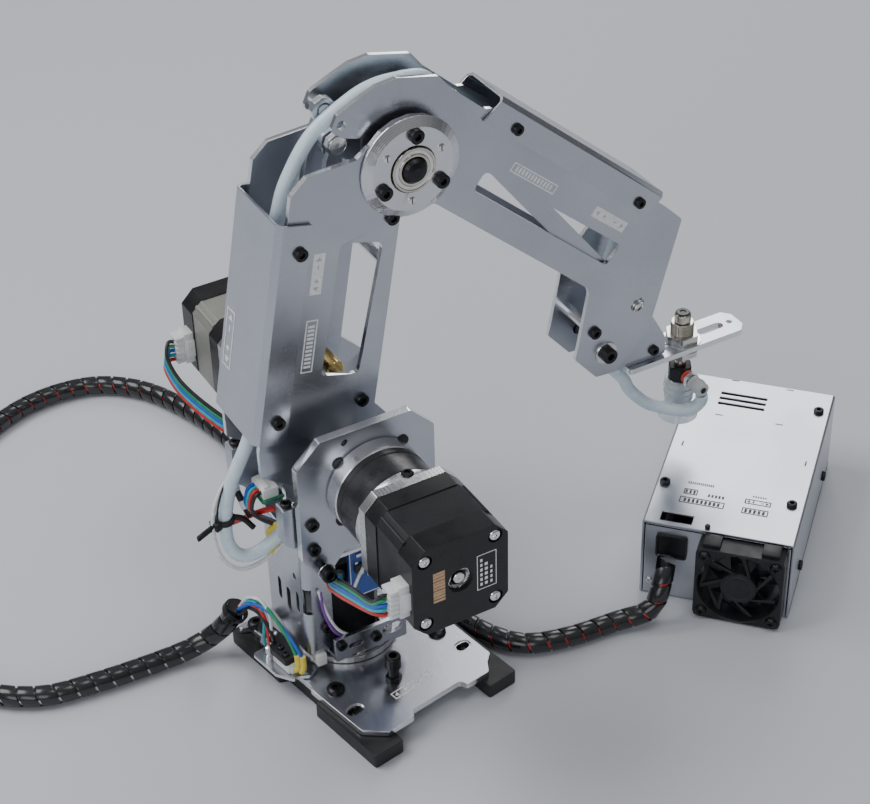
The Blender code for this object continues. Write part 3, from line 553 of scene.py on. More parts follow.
WIRE_TINTS = {"red": (0.62, 0.025, 0.02), "blue": (0.02, 0.12, 0.62), "cyan": (0.03, 0.42, 0.50),
              "green": (0.02, 0.30, 0.13), "black": (0.015, 0.015, 0.017), "white": (0.82, 0.83, 0.84),
              "purple": (0.22, 0.06, 0.38)}
WIRE = {tag: coated("wire_" + tag, tint, 0.34, 0.06, 400.0, 0.08, 0.00004, gain=1.15)
        for tag, tint in WIRE_TINTS.items()}


# ---- mesh helpers (mm, in a local frame) ----
def circle(cx, cy, r, n=24, start=0.0):
    step = 2.0 * pi / n
    return [(cx + r * cos(start + i * step), cy + r * sin(start + i * step)) for i in range(n)]


def rectangle(x0, y0, x1, y1):
    return [(x0, y0), (x1, y0), (x1, y1), (x0, y1)]


def slot(x0, y0, x1, y1, r, n=8):
    """Outline of a round ended slot between two centres."""
    dx, dy = x1 - x0, y1 - y0
    length = hypot(dx, dy)
    ux, uy = dx / length, dy / length
    pts = []
    for cx, cy, sign in ((x1, y1, 1.0), (x0, y0, -1.0)):
        for i in range(n + 1):
            a = -pi / 2 + pi * i / n
            c, s = cos(a) * sign, sin(a) * sign
            pts.append((cx + r * (c * ux - s * uy), cy + r * (c * uy + s * ux)))
    return pts


def rounded(points, radius, n=4):
    """Round every corner of a closed outline; radius is one number or a list."""
    out = []
    count = len(points)
    for i in range(count):
        r = radius[i] if isinstance(radius, (list, tuple)) else radius
        p = Vector(points[i])
        if r <= 0.0:
            out.append((p.x, p.y))
            continue
        a = Vector(points[i - 1]) - p
        b = Vector(points[(i + 1) % count]) - p
        la, lb = a.length, b.length
        a.normalize()
        b.normalize()
        half = a.angle(b) / 2.0
        cut = min(r / max(sin(half) / cos(half), 0.05), la * 0.45, lb * 0.45)
        p0 = p + a * cut
        p1 = p + b * cut
        for k in range(n + 1):
            t = k / n
            q = p0 * (1 - t) ** 2 + p * 2 * t * (1 - t) + p1 * t ** 2
            out.append((q.x, q.y))
    return out


def octagon(half, cut):
    h, c = half, half - cut
    return [(c, h), (-c, h), (-h, c), (-h, -c), (-c, -h), (c, -h), (h, -c), (h, c)]


def moved(points, dx, dy):
    return [(x + dx, y + dy) for x, y in points]


def put(plane, a, b, h):
    if plane == "xy":
        return (a, b, h)
    if plane == "xz":
        return (a, h, b)
    return (h, a, b)


def add_prism(bm, loops, h0, h1, plane="xy"):
    """Extrude an outline with holes from h0 to h1 into bm."""
    flat = [p for loop in loops for p in loop]
    low = [bm.verts.new(put(plane, a, b, h0)) for a, b in flat]
    high = [bm.verts.new(put(plane, a, b, h1)) for a, b in flat]
    made = []
    for tri in tessellate_polygon([[Vector((a, b, 0.0)) for a, b in loop] for loop in loops]):
        made.append(bm.faces.new([low[i] for i in tri]))
        made.append(bm.faces.new([high[i] for i in reversed(tri)]))
    start = 0
    for loop in loops:
        count = len(loop)
        for i in range(count):
            j = (i + 1) % count
            made.append(bm.faces.new((low[start + i], low[start + j], high[start + j],
                                      high[start + i])))
        start += count
    return made


def add_turned(bm, rows, axis="z", n=28, at=(0.0, 0.0, 0.0), ring=False):
    """Revolve (radius, height) rows; a radius may be a function of the angle."""
    loops = []
    for r, h in rows:
        row = []
        for i in range(n):
            a = 2.0 * pi * i / n
            reach = r(a) if callable(r) else r
            p, q = reach * cos(a), reach * sin(a)
            if axis == "z":
                co = (p, q, h)
            elif axis == "y":
                co = (p, h, q)
            else:
                co = (h, p, q)
            row.append(bm.verts.new((co[0] + at[0], co[1] + at[1], co[2] + at[2])))
        loops.append(row)
    pairs = list(zip(loops[:-1], loops[1:]))
    if ring:
        pairs.append((loops[-1], loops[0]))
    for a, b in pairs:
        for i in range(n):
            j = (i + 1) % n
            bm.faces.new((a[i], a[j], b[j], b[i]))
    if not ring:
        bm.faces.new(loops[0])
        bm.faces.new(loops[-1])


def add_block(bm, x0, x1, y0, y1, z0, z1, bevel=0.0):
    made = bmesh.ops.create_cube(bm, size=1.0)["verts"]
    for v in made:
        v.co = ((x0 if v.co.x < 0 else x1), (y0 if v.co.y < 0 else y1), (z0 if v.co.z < 0 else z1))
    if bevel > 0.0:
        edges = list({e for v in made for e in v.link_edges})
        bmesh.ops.bevel(bm, geom=edges, offset=bevel, segments=2, profile=0.6, affect="EDGES")


def piece(name, bm, mat, where, bevel=0.0, smooth=38, segments=2, slot_name=None):
    """Turn bm (mm, local) into an object in the row frame that rides on its body."""
    matrix, body = where
    bmesh.ops.remove_doubles(bm, verts=bm.verts, dist=0.003)
    bmesh.ops.recalc_face_normals(bm, faces=bm.faces)
    mesh = bpy.data.meshes.new(name)
    bm.to_mesh(mesh)
    bm.free()
    mesh.transform(Matrix.Scale(MM, 4) @ matrix)
    obj = bpy.data.objects.new(name, mesh)
    bpy.context.scene.collection.objects.link(obj)
    mesh.materials.append(mat)
    if smooth:
        mesh.shade_smooth()
        mesh.set_sharp_from_angle(angle=radians(smooth))
    if bevel > 0.0:
        mod = obj.modifiers.new("edge", "BEVEL")
        mod.width = bevel * MM
        mod.segments = segments
        mod.limit_method = "ANGLE"
        mod.angle_limit = radians(35.0)
        mod.harden_normals = False
    if slot_name:
        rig.slot(obj, slot_name)
    if body:
        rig.ride(obj, body)
    return obj


def prism(name, loops, h0, h1, plane, mat, where, bevel=0.0, **more):
    bm = bmesh.new()
    add_prism(bm, loops, h0, h1, plane)
    return piece(name, bm, mat, where, bevel, **more)


def turned(name, rows, axis, mat, where, n=28, at=(0.0, 0.0, 0.0), ring=False, **more):
    bm = bmesh.new()
    add_turned(bm, rows, axis, n, at, ring)
    return piece(name, bm, mat, where, **more)


def block(name, x0, x1, y0, y1, z0, z1, mat, where, bevel=0.0, **more):
    bm = bmesh.new()
    add_block(bm, x0, x1, y0, y1, z0, z1, bevel)
    return piece(name, bm, mat, where, **more)


def smooth_path(route, per_leg):
    """Catmull-Rom points through the given route points."""
    pts = [Vector(p) for p in route]
    ext = [pts[0] * 2 - pts[1]] + pts + [pts[-1] * 2 - pts[-2]]
    out = []
    for i in range(1, len(ext) - 2):
        a, b, c, d = ext[i - 1], ext[i], ext[i + 1], ext[i + 2]
        for k in range(per_leg):
            t = k / per_leg
            out.append(0.5 * ((2 * b) + (c - a) * t + (2 * a - 5 * b + 4 * c - d) * t ** 2
                              + (3 * b - a - 3 * c + d) * t ** 3))
    out.append(pts[-1])
    return out


def frames_along(pts):
    """Points with two side vectors that turn as little as possible along the line."""
    out = []
    side = None
    for i, p in enumerate(pts):
        ahead = (pts[min(i + 1, len(pts) - 1)] - pts[max(i - 1, 0)]).normalized()
        if side is None:
            side = ahead.orthogonal().normalized()
        side = (side - ahead * side.dot(ahead)).normalized()
        out.append((p, side, ahead.cross(side)))
    return out


def add_tube(bm, pts, radius, n=12, bore=0.0):
    rows = []
    for p, s, t in frames_along(pts):
        rows.append([bm.verts.new(p + (s * cos(2 * pi * k / n) + t * sin(2 * pi * k / n)) * radius)
                     for k in range(n)])
    for a, b in zip(rows[:-1], rows[1:]):
        for k in range(n):
            m = (k + 1) % n
            bm.faces.new((a[k], a[m], b[m], b[k]))
    for row, p in ((rows[0], pts[0]), (rows[-1], pts[-1])):
        if bore <= 0.0:
            bm.faces.new(row)
            continue
        inner = [bm.verts.new(p + (v.co - p) * (bore / radius)) for v in row]
        deep = [bm.verts.new(v.co.copy()) for v in inner]
        inward = (pts[1] - pts[0]) if row is rows[0] else (pts[-2] - pts[-1])
        for v in deep:
            v.co += inward.normalized() * radius
        for k in range(n):
            m = (k + 1) % n
            bm.faces.new((row[k], row[m], inner[m], inner[k]))
            bm.faces.new((inner[k], inner[m], deep[m], deep[k]))
        bm.faces.new(deep)


def wire(name, route, radius, mat, where, per_leg=6, n=10):
    bm = bmesh.new()
    add_tube(bm, smooth_path(route, per_leg), radius, n)
    return piece(name, bm, mat, where, smooth=60)


# ---- fasteners ----
def hexagon(flat):
    """Radius of a hexagon with that half width across flats, by angle."""
    step = pi / 3.0
    return lambda a: flat / cos((a + step / 2) % step - step / 2)


def cross(reach):
    return lambda a: reach * (0.34 + 0.66 * abs(cos(2 * a)) ** 5)


def aimed(where, at, direction):
    """Frame at a point whose local z looks along direction."""
    matrix, body = where
    turn = Vector(direction).to_track_quat("Z", "Y").to_matrix().to_4x4()
    return (matrix @ Matrix.Translation(at) @ turn, body)


HEADS = {                  # head radius, height, key half width, kind
    "m3": (2.75, 1.9, 1.2, "hex"),
    "m4": (3.5, 3.8, 1.5, "hex"),
    "m25": (2.4, 1.7, 1.0, "hex"),
    "cap": (3.0, 2.3, 1.3, "hex"),
    "button": (4.1, 2.3, 1.35, "hex"),
    "pan": (2.7, 1.7, 1.5, "cross"),
    "pan_small": (1.7, 1.1, 0.95, "cross"),
    "grub": (1.9, 0.9, 0.9, "hex"),
}


def screw(name, where, at, direction=(0, -1, 0), head="m3", mat=None, shank=0.0):
    """Screw head standing on its seat at a point, looking along direction."""
    r, h, key, kind = HEADS[head]
    inner = hexagon(key) if kind == "hex" else cross(key)
    wide = (lambda a: inner(a) * 1.12) if kind == "hex" else inner
    if kind == "hex" and head != "button":
        rows = [(r - 0.1, -0.05), (r, 0.25), (r, h - 0.4), (r - 0.3, h - 0.08), (r - 0.55, h)]
    else:
        rows = [(r, -0.05), (r, 0.35), (r * 0.93, h * 0.62), (r * 0.74, h * 0.92), (r * 0.6, h)]
    rows += [(wide, h), (inner, h - 0.18), (inner, h * 0.42)]
    if shank > 0.0:
        rows = [(r * 0.5, -shank), (r * 0.55, -shank + 0.3), (r * 0.55, -0.05)] + rows
    bm = bmesh.new()
    add_turned(bm, rows, "z", 36)
    return piece(name, bm, mat or BLACK_STEEL, aimed(where, at, direction), smooth=32)


def screws(name, where, points, direction=(0, -1, 0), head="m3", mat=None):
    for i, at in enumerate(points):
        screw("%s_%d" % (name, i + 1), where, at, direction, head, mat)


def washer(name, where, at, direction, r_in, r_out, thick, mat):
    bm = bmesh.new()
    add_turned(bm, [(r_in, 0), (r_out - 0.2, 0), (r_out, 0.2), (r_out, thick - 0.2),
                    (r_out - 0.2, thick), (r_in, thick)], "z", 32, ring=True)
    return piece(name, bm, mat, aimed(where, at, direction))


# ---- marks ----
def on_face(where, at, across, up):
    """Frame on a face: x along across, y along up, z off the face."""
    matrix, body = where
    u = Vector(across).normalized()
    v = Vector(up).normalized()
    turn = Matrix((u, v, u.cross(v))).transposed().to_4x4()
    return (matrix @ Matrix.Translation(at) @ turn, body)


INK = 0.07                 # ink stands this far off its face (mm)


def outline_frame(bm, w, h, line):
    outer = rectangle(-w / 2, -h / 2, w / 2, h / 2)
    inner = rectangle(-w / 2 + line, -h / 2 + line, w / 2 - line, h / 2 - line)
    add_prism(bm, [outer, inner], 0.01, INK)


def arrow_mark(name, where, w, h, solid=False, line=0.55, mat=None):
    """Two arrowheads with minus and plus between them, in a box along x."""
    bm = bmesh.new()
    tip, size = w / 2 - h * 0.28, h * 0.27
    arrows = [[(tip, 0), (tip - size * 1.5, size), (tip - size * 1.5, -size)],
              [(-tip, 0), (-tip + size * 1.5, -size), (-tip + size * 1.5, size)]]
    bar, arm = h * 0.06, h * 0.2
    minus = moved(rectangle(-arm, -bar, arm, bar), w * 0.17, 0)
    plus = moved([(-arm, -bar), (-bar, -bar), (-bar, -arm), (bar, -arm), (bar, -bar), (arm, -bar),
                  (arm, bar), (bar, bar), (bar, arm), (-bar, arm), (-bar, bar), (-arm, bar)],
                 -w * 0.17, 0)
    if solid:
        add_prism(bm, [rectangle(-w / 2, -h / 2, w / 2, h / 2)] + arrows + [minus, plus], 0.01, INK)
    else:
        outline_frame(bm, w, h, line)
        for shape in arrows + [minus, plus]:
            add_prism(bm, [shape], 0.01, INK)
    return piece(name, bm, mat or WHITE_INK, where, smooth=None)


def bar_mark(name, where, w, h, count, framed=True, mat=None):
    """Generic block mark: a row of short bars, framed or not."""
    bm = bmesh.new()
    if framed:
        outline_frame(bm, w, h, 0.55)
    inner_w, inner_h = w * 0.84, h * 0.56
    step = inner_w / count
    for i in range(count):
        x = -inner_w / 2 + step * i
        add_prism(bm, [rectangle(x + step * 0.14, -inner_h / 2, x + step * 0.72, inner_h / 2)],
                  0.01, INK)
    return piece(name, bm, mat or WHITE_INK, where, smooth=None)


# ---- finish on the carried-over nodes ----
def edge_break(node, width, weld=True):
    """Small rounded edges on a frame node, from modifiers only."""
    obj = NODE[node]
    if weld:
        mod = obj.modifiers.new("weld", "WELD")
        mod.merge_threshold = 0.00001
    mod = obj.modifiers.new("edge", "BEVEL")
    mod.width = width * MM
    mod.segments = 2
    mod.limit_method = "ANGLE"
    mod.angle_limit = radians(35.0)


def dress(mat, nodes, width=0.2):
    for node in nodes:
        obj = NODE[node]
        for entry in obj.material_slots:
            entry.material = mat
        if width:
            edge_break(node, width)


def dress_nodes():
    dress(SHEET, ["lower_plate_near", "lower_plate_far", "forearm_plate_near", "forearm_plate_far",
                  "side_plate_near", "side_plate_far", "level_triangle", "wrist_web", "link_post",
                  "drive_rod", "level_link", "upper_link", "elbow_crank"], 0.18)
    dress(SHEET_FLAT, ["base_plate", "column_cap", "wrist_tongue", "limit_flange"], 0.18)
    dress(BENT, ["rear_cover", "forearm_cover"], 0.2)
    dress(TURNED_ELBOW, ["elbow_flange_near", "elbow_flange_far"], 0.25)
    dress(NICKEL, ["elbow_bearing_near", "elbow_bearing_far"], 0.15)
    dress(STEEL, ["shoulder_hub", "turntable_ring",
                  "turntable_disc", "suction_fitting", "shaft_bush"], 0.15)
    dress(BLACK_STEEL, ["elbow_axle", "wrist_axle", "stop_post"], 0.3)
    dress(FOOT_RUBBER, ["base_frame"], 0.5)
    dress(BOX_SHEET, ["box_cover", "box_tray"], 0.25)
    dress(FAN_PLASTIC, ["fan_frame", "fan_rotor"], 0.3)
    dress(PCB_GREEN, ["box_board"], 0.0)
    dress(PCB_BLUE, ["control_board"], 0.0)
    dress(MOTOR_PAINT, ["base_motor"], 0.5)
    dress(NICKEL, ["suction_stem"], 0.15)
    dress(BLACK_PLASTIC, ["suction_body"], 0.4)
    dress(RED_RUBBER, ["suction_seal"], 0.5)
    dress(CUP_SILICONE, ["suction_cup"], 0.2)
    dress(BRASS, ["crank_pin"], 0.2)


# ---- harness on the table ----
HARNESS = [(-39.5, 25.5, 30.0), (-44.0, 31.0, 18.0), (-52.0, 37.5, 8.5), (-66.0, 42.0, 5.0),
           (-99.5, 50.0, 5.0), (-125.0, 60.0, 5.0), (-143.0, 82.0, 5.0), (-150.0, 118.0, 5.0),
           (-138.0, 160.0, 5.0), (-108.0, 200.0, 5.0), (-66.0, 232.0, 5.0), (-22.0, 248.0, 5.0),
           (14.0, 243.0, 5.0), (35.0, 222.0, 5.0), (44.0, 190.0, 5.0), (46.0, 150.0, 5.0),
           (46.5, 100.0, 5.0), (47.0, 50.0, 5.0), (47.0, 0.0, 5.0), (47.5, -32.0, 5.0),
           (56.0, -54.0, 5.0), (74.0, -65.0, 5.0), (98.0, -72.0, 5.0), (112.0, -79.5, 9.0),
           (119.0, -79.0, 20.0), (126.8, -74.0, 28.6)]


def wrapped_tube(name, route, radius, pitch, where):
    """Spiral wrap laid helix by helix, with wire colours in its narrow gap."""
    pts = smooth_path(route, 14)
    rows = frames_along(pts)
    reach = [0.0]
    for a, b in zip(pts[:-1], pts[1:]):
        reach.append(reach[-1] + (b - a).length)
    total = reach[-1]
    seat = [0]

    def at(s, angle, r):
        s = min(max(s, 0.0), total)
        while seat[0] > 0 and reach[seat[0]] > s:
            seat[0] -= 1
        while seat[0] < len(reach) - 2 and reach[seat[0] + 1] < s:
            seat[0] += 1
        k = seat[0]
        t = (s - reach[k]) / (reach[k + 1] - reach[k])
        p = rows[k][0].lerp(rows[k + 1][0], t)
        u = rows[k][1].lerp(rows[k + 1][1], t).normalized()
        v = rows[k][2].lerp(rows[k + 1][2], t).normalized()
        return p + (u * cos(angle) + v * sin(angle)) * r

    profile = [(0.0, 0.97), (0.015, 0.80), (0.115, 0.80), (0.13, 0.97), (0.19, 1.0), (0.94, 1.0)]
    n, m = 26, len(profile)
    steps = int((total / pitch - 1.0) * n)
    bm = bmesh.new()
    grid = [[bm.verts.new(at(pitch * (i / n + f), 2 * pi * i / n, radius * r)) for f, r in profile]
            for i in range(steps + n)]
    for i in range(steps - 1):
        for k in range(m):
            ring = ([(i, k), (i + 1, k), (i + 1, k + 1), (i, k + 1)] if k < m - 1 else
                    [(i, k), (i + 1, k), (i + 1 + n, 0), (i + n, 0)])
            face = bm.faces.new([grid[a][b] for a, b in ring])
            if k == 1:
                face.material_index = 1 + (i * 6 // n) % 6
    # end collars close the wrap
    for s in (0.0, total - 0.8):
        loop_a = [bm.verts.new(at(s, 2 * pi * i / n, radius * 0.93)) for i in range(n)]
        loop_b = [bm.verts.new(at(s + 0.8, 2 * pi * i / n, radius * 0.93)) for i in range(n)]
        for i in range(n):
            j = (i + 1) % n
            bm.faces.new((loop_a[i], loop_a[j], loop_b[j], loop_b[i]))
        bm.faces.new(loop_a)
        bm.faces.new(loop_b)
    bmesh.ops.delete(bm, geom=[v for v in bm.verts if not v.link_faces], context="VERTS")
    obj = piece(name, bm, WRAP, where, smooth=45)
    for tag in ("black", "black", "red", "black", "blue", "white"):
        obj.data.materials.append(WIRE[tag])
    return obj, [tuple(p * MM) for p in pts], total * MM


def harness():
    obj, path, total = wrapped_tube("harness_wrap", HARNESS, CABLE_R, 8.0, BASE)
    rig.slot(obj, "black_spiral_wrap")
    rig.replaces(obj, "harness_cable")
    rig.cord(obj, exit=path[0], length=total, diameter=2 * CABLE_R * MM, far_end="object",
            stiffness="medium", lay="loose", path=path)
    tie("harness_tie", BASE, (-40.6, 26.8, 27.0), (-0.38, 0.45, -0.8), CABLE_R + 0.3, (-0.8, -0.5, 0.1), 9.0)
    # loose wires to the switch and the floor plate, clear of the turning column
    fan = [("white", [(-39.5, 25.5, 29.0), (-38.5, 19.0, 39.0), (-37.2, 11.0, 42.0), (-36.2, 6.5, 37.0),
                      (-35.9, 6.4, 27.0), (-34.6, 12.4, 14.5)], 0.75),
           ("green", [(-38.5, 25.0, 29.0), (-37.6, 18.0, 38.5), (-36.6, 9.5, 40.0), (-35.8, 1.5, 35.5),
                      (-35.0, -5.0, 29.0), (-34.5, -9.8, 21.5)], 0.8),
           ("blue", [(-40.5, 25.0, 29.0), (-38.6, 16.5, 37.0), (-36.8, 8.0, 38.5), (-35.2, 0.5, 34.0),
                     (-34.1, -7.0, 28.0), (-33.3, -12.3, 21.5)], 0.8),
           ("red", [(-39.0, 26.5, 29.0), (-38.4, 19.0, 35.5), (-37.2, 12.5, 36.0), (-36.4, 9.0, 30.0),
                    (-36.0, 8.6, 20.0), (-34.0, 10.5, 13.5)], 0.85),
           ("black", [(-40.0, 26.0, 29.0), (-38.6, 17.5, 34.0), (-37.4, 11.0, 33.0), (-36.4, 6.0, 26.0),
                      (-35.9, 4.6, 20.6)], 0.85),
           ("cyan", [(-38.8, 24.2, 29.5), (-38.4, 19.5, 36.5), (-37.4, 14.0, 38.5), (-36.4, 10.5, 33.0),
                     (-36.8, 11.0, 22.0), (-36.2, 12.5, 14.5)], 0.75)]
    for tag, route, r in fan:
        wire("lead_base_" + tag, route, r, WIRE[tag], BASE)


def tie(name, where, at, along, reach, toward, tail):
    """Cable tie: a flat band round a bundle, its lock head and the ribbed tail."""
    matrix, body = where
    z = Vector(along).normalized()
    x = Vector(toward)
    x = (x - z * x.dot(z)).normalized()
    turn = Matrix((x, z.cross(x), z)).transposed().to_4x4()
    bm = bmesh.new()
    add_turned(bm, [(reach, -1.4), (reach + 0.95, -1.3), (reach + 0.95, 1.3), (reach, 1.4)], "z", 28,
               ring=True)
    add_block(bm, reach + 0.2, reach + 3.4, -2.6, 2.0, -2.1, 2.1, 0.4)
    add_block(bm, reach + 3.0, reach + 3.0 + tail, -0.9, 0.1, -1.3, 1.3, 0.2)
    for i in range(int(tail / 1.2)):
        add_block(bm, reach + 3.5 + i * 1.2, reach + 4.1 + i * 1.2, -1.15, 0.3, -1.1, 1.1)
    return piece(name, bm, BLACK_PLASTIC, (matrix @ Matrix.Translation(at) @ turn, body))


# ---- the two arm drives ----
def drive(tag, side, stack):
    z = SHOULDER.z
    at = (0.0, 0.0, z)

    def y(h):
        return side * (SIDE_OUT + 0.3 + h)

    def rows(points):
        return [(r, y(h)) for r, h in points]
    nose = turned(tag + "_gear_nose", rows([(12.0, 0), (20.3, 0), (20.9, 0.5), (20.9, 7.3), (20.5, 7.8),
                                            (12.0, 7.8)]), "y", TURNED_SHOULDER, TURN, 72, at)
    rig.replaces(nose, tag + "_gearbox")
    turned(tag + "_gear_band", rows([(19.0, 7.8), (20.2, 7.9), (20.6, 8.3), (20.6, 10.8), (20.2, 11.1),
                                     (20.2, 11.6), (20.6, 11.9), (20.6, 23.7), (20.2, 24.1),
                                     (19.0, 24.2)]), "y", BLACK_ANODISED, TURN, 72, at)
    turned(tag + "_gear_tail", rows([(18.0, 24.2), (20.5, 24.3), (20.9, 24.7), (20.9, 28.8),
                                     (20.6, 29.2), (18.0, 29.2)]), "y", TURNED_SHOULDER, TURN, 72, at)
    h0, h1 = sorted((y(29.2), y(33.8)))
    prism(tag + "_gear_flange", [rounded(moved(octagon(21.15, 5.9), 0, z), 0.8, 2)], h0, h1, "xz",
          TURNED_SHOULDER, TURN, 0.35)
    turned(tag + "_gear_plug", [(2.6, 0), (2.6, 1.0), (2.2, 1.5), (1.4, 1.5), (1.3, 0.9)], "z", BLACK_STEEL,
           TURN, 20, (2.0, y(27.0), z + 20.4))
    for i, (px, pz) in enumerate(((14.6, 14.6), (-14.6, 14.6), (-14.6, -14.6), (14.6, -14.6))):
        screw("%s_gear_bolt_%d" % (tag, i + 1), TURN, (px, y(0.2), z + pz), (0, -side, 0), "pan")
    # motor: painted caps, bare laminations between them
    full = rounded(moved(octagon(MOTOR_W / 2, 5.9), 0, z), 0.9, 2)
    core = rounded(moved(octagon(MOTOR_W / 2 - 0.45, 4.7), 0, z), 0.5, 2)
    lo, hi = sorted((y(34.2), y(42.8)))
    cap = prism(tag + "_motor_front", [full], lo, hi, "xz", MOTOR_PAINT, TURN, 0.45)
    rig.replaces(cap, tag + "_motor")
    lo, hi = sorted((y(42.7), y(60.5)))
    prism(tag + "_motor_stack", [core], lo, hi, "xz", stack, TURN, 0.2)
    lo, hi = sorted((y(60.4), y(71.4)))
    holes = [circle(0, z, 5.6, 32)] + [circle(sx * 15.5, z + sz * 15.5, 3.2, 20)
                                       for sx in (-1, 1) for sz in (-1, 1)]
    prism(tag + "_motor_rear", [full] + holes, lo, hi, "xz", MOTOR_PAINT, TURN, 0.35)
    turned(tag + "_motor_bearing", rows([(3.4, 66.5), (5.6, 66.5), (5.6, 69.3), (4.9, 69.5), (4.6, 68.9),
                                         (4.0, 68.9), (3.4, 69.3)]), "y", STEEL, TURN, 40, at, ring=True)
    turned(tag + "_motor_shaft", rows([(2.5, 60.6), (2.5, 69.8), (2.2, 70.1), (0.6, 70.1), (0.3, 69.6)]),
           "y", STEEL, TURN, 28, at)
    turned(tag + "_motor_floor", rows([(5.65, 61.0), (5.65, 66.8), (2.4, 66.8)]), "y", BLACK_PLASTIC,
           TURN, 28, at)
    for i, (sx, sz) in enumerate(((1, 1), (-1, 1), (-1, -1), (1, -1))):
        spot_xz = (sx * 15.5, z + sz * 15.5)
        turned("%s_motor_seat_%d" % (tag, i + 1), [(3.25, y(61.0)), (3.25, y(69.9))], "y", MOTOR_PAINT,
               TURN, 24, (spot_xz[0], 0, spot_xz[1]))
        screw("%s_motor_screw_%d" % (tag, i + 1), TURN, (spot_xz[0], y(69.9), spot_xz[1]), (0, side, 0),
              "pan", CHROME)
    # four thin tie rods lie in the corner flats of the laminations
    for i, (sx, sz) in enumerate(((1, 1), (-1, 1), (-1, -1), (1, -1))):
        lo, hi = sorted((y(42.6), y(60.6)))
        turned("%s_motor_rod_%d" % (tag, i + 1), [(1.3, lo), (1.3, hi)], "y", stack, TURN, 14,
               (sx * 17.9, 0, z + sz * 17.9))
    # generic marks on the rear face
    face = on_face(TURN, (-9.6, y(71.4), z + 1.0), (-side, 0, 0), (0, 0, 1))
    bm = bmesh.new()
    for i in range(10):
        add_prism(bm, [rectangle(-2.6, -7.5 + i * 1.52, 2.6, -6.35 + i * 1.52 + 0.12 * (i % 3))], 0.01, INK)
    piece(tag + "_motor_gold_mark", bm, GOLD_INK, face, smooth=None)
    bm = bmesh.new()
    outline_frame(bm, 8.7, 17.5, 0.32)
    for k, (x0, w) in enumerate(((-2.9, 1.0), (-0.9, 1.3), (1.6, 0.9))):
        for i in range(6 - k):
            add_prism(bm, [rectangle(x0, -6.9 + i * 2.4, x0 + w, -5.5 + i * 2.4)], 0.01, INK)
    piece(tag + "_motor_white_mark", bm, WHITE_INK,
          on_face(TURN, (11.5, y(71.4), z), (-side, 0, 0), (0, 0, 1)), smooth=None)
    connector(tag, side, y)


def connector(tag, side, y):
    """Six-way white header and plug on the motor's side."""
    z = SHOULDER.z
    lo, hi = sorted((y(61.6), y(68.8)))
    bm = bmesh.new()
    add_block(bm, -25.4, -20.6, lo, hi, z - 10.5, z + 5.0, 0.35)
    add_block(bm, -24.6, -20.6, lo - 1.1, hi + 1.1, z - 7.0, z + 1.5, 0.3)
    header = piece(tag + "_header", bm, NYLON, TURN)
    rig.replaces(header, tag + "_connector")
    bm = bmesh.new()
    add_block(bm, -28.6, -25.0, lo + 0.8, hi - 0.8, z - 9.4, z + 3.9, 0.3)
    for i in range(6):
        zz = z - 8.6 + i * 2.35
        add_block(bm, -29.4, -25.6, lo + 0.2, hi - 0.2, zz - 0.72, zz + 0.72, 0.22)
    piece(tag + "_plug", bm, NYLON, TURN)
    mid = (lo + hi) / 2
    names = ("red", "cyan", "blue", "green", "black")
    for i, name in enumerate(names):
        zz = z - 8.6 + i * 2.35
        o = i - 2
        if side < 0:
            route = [(-28.8, mid + 0.6 * (i % 2), zz), (-31.5, mid + 0.5, zz + 0.2),
                     (-32.5 + 0.3 * o, mid + 7.0, 109.5 + 1.2 * o), (-30.5 + 0.5 * o, -74.0, 100.0 + 1.4 * o),
                     (-27.0 + 0.6 * o, -56.0, 88.5 + 1.5 * o), (-23.0 + 0.5 * o, -42.0, 78.0 + 1.5 * o),
                     (-20.0 + 0.8 * o, -31.0, 70.5 + 1.0 * o), (-16.5 + 0.9 * o, -24.0, 67.0 + 0.6 * o),
                     (-11.5 + 0.8 * o, -20.0, 62.0 + 0.6 * o), (-10.0 + 0.8 * o, -15.5, 52.0 + 0.6 * o)]
        else:
            route = [(-28.8, mid - 0.6 * (i % 2), zz), (-32.0, mid, zz + 0.2),
                     (-35.5 + 0.4 * o, mid - 5.0, 112.0 + 1.2 * o), (-33.0 + 0.4 * o, 84.0, 103.0 + 1.4 * o),
                     (-25.0 + 0.5 * o, 66.0, 95.0 + 1.4 * o), (-12.0 + 0.5 * o, 44.0, 88.0 + 1.0 * o),
                     (-2.0 + 0.5 * o, 28.0, 86.5 + 0.8 * o), (3.0 + 0.5 * o, 10.0, 84.5 + 0.6 * o),
                     (4.0 + 0.6 * o, 3.0, 76.0)]
        wire("lead_%s_%s" % (tag, name), route, 0.85, WIRE[name], TURN)


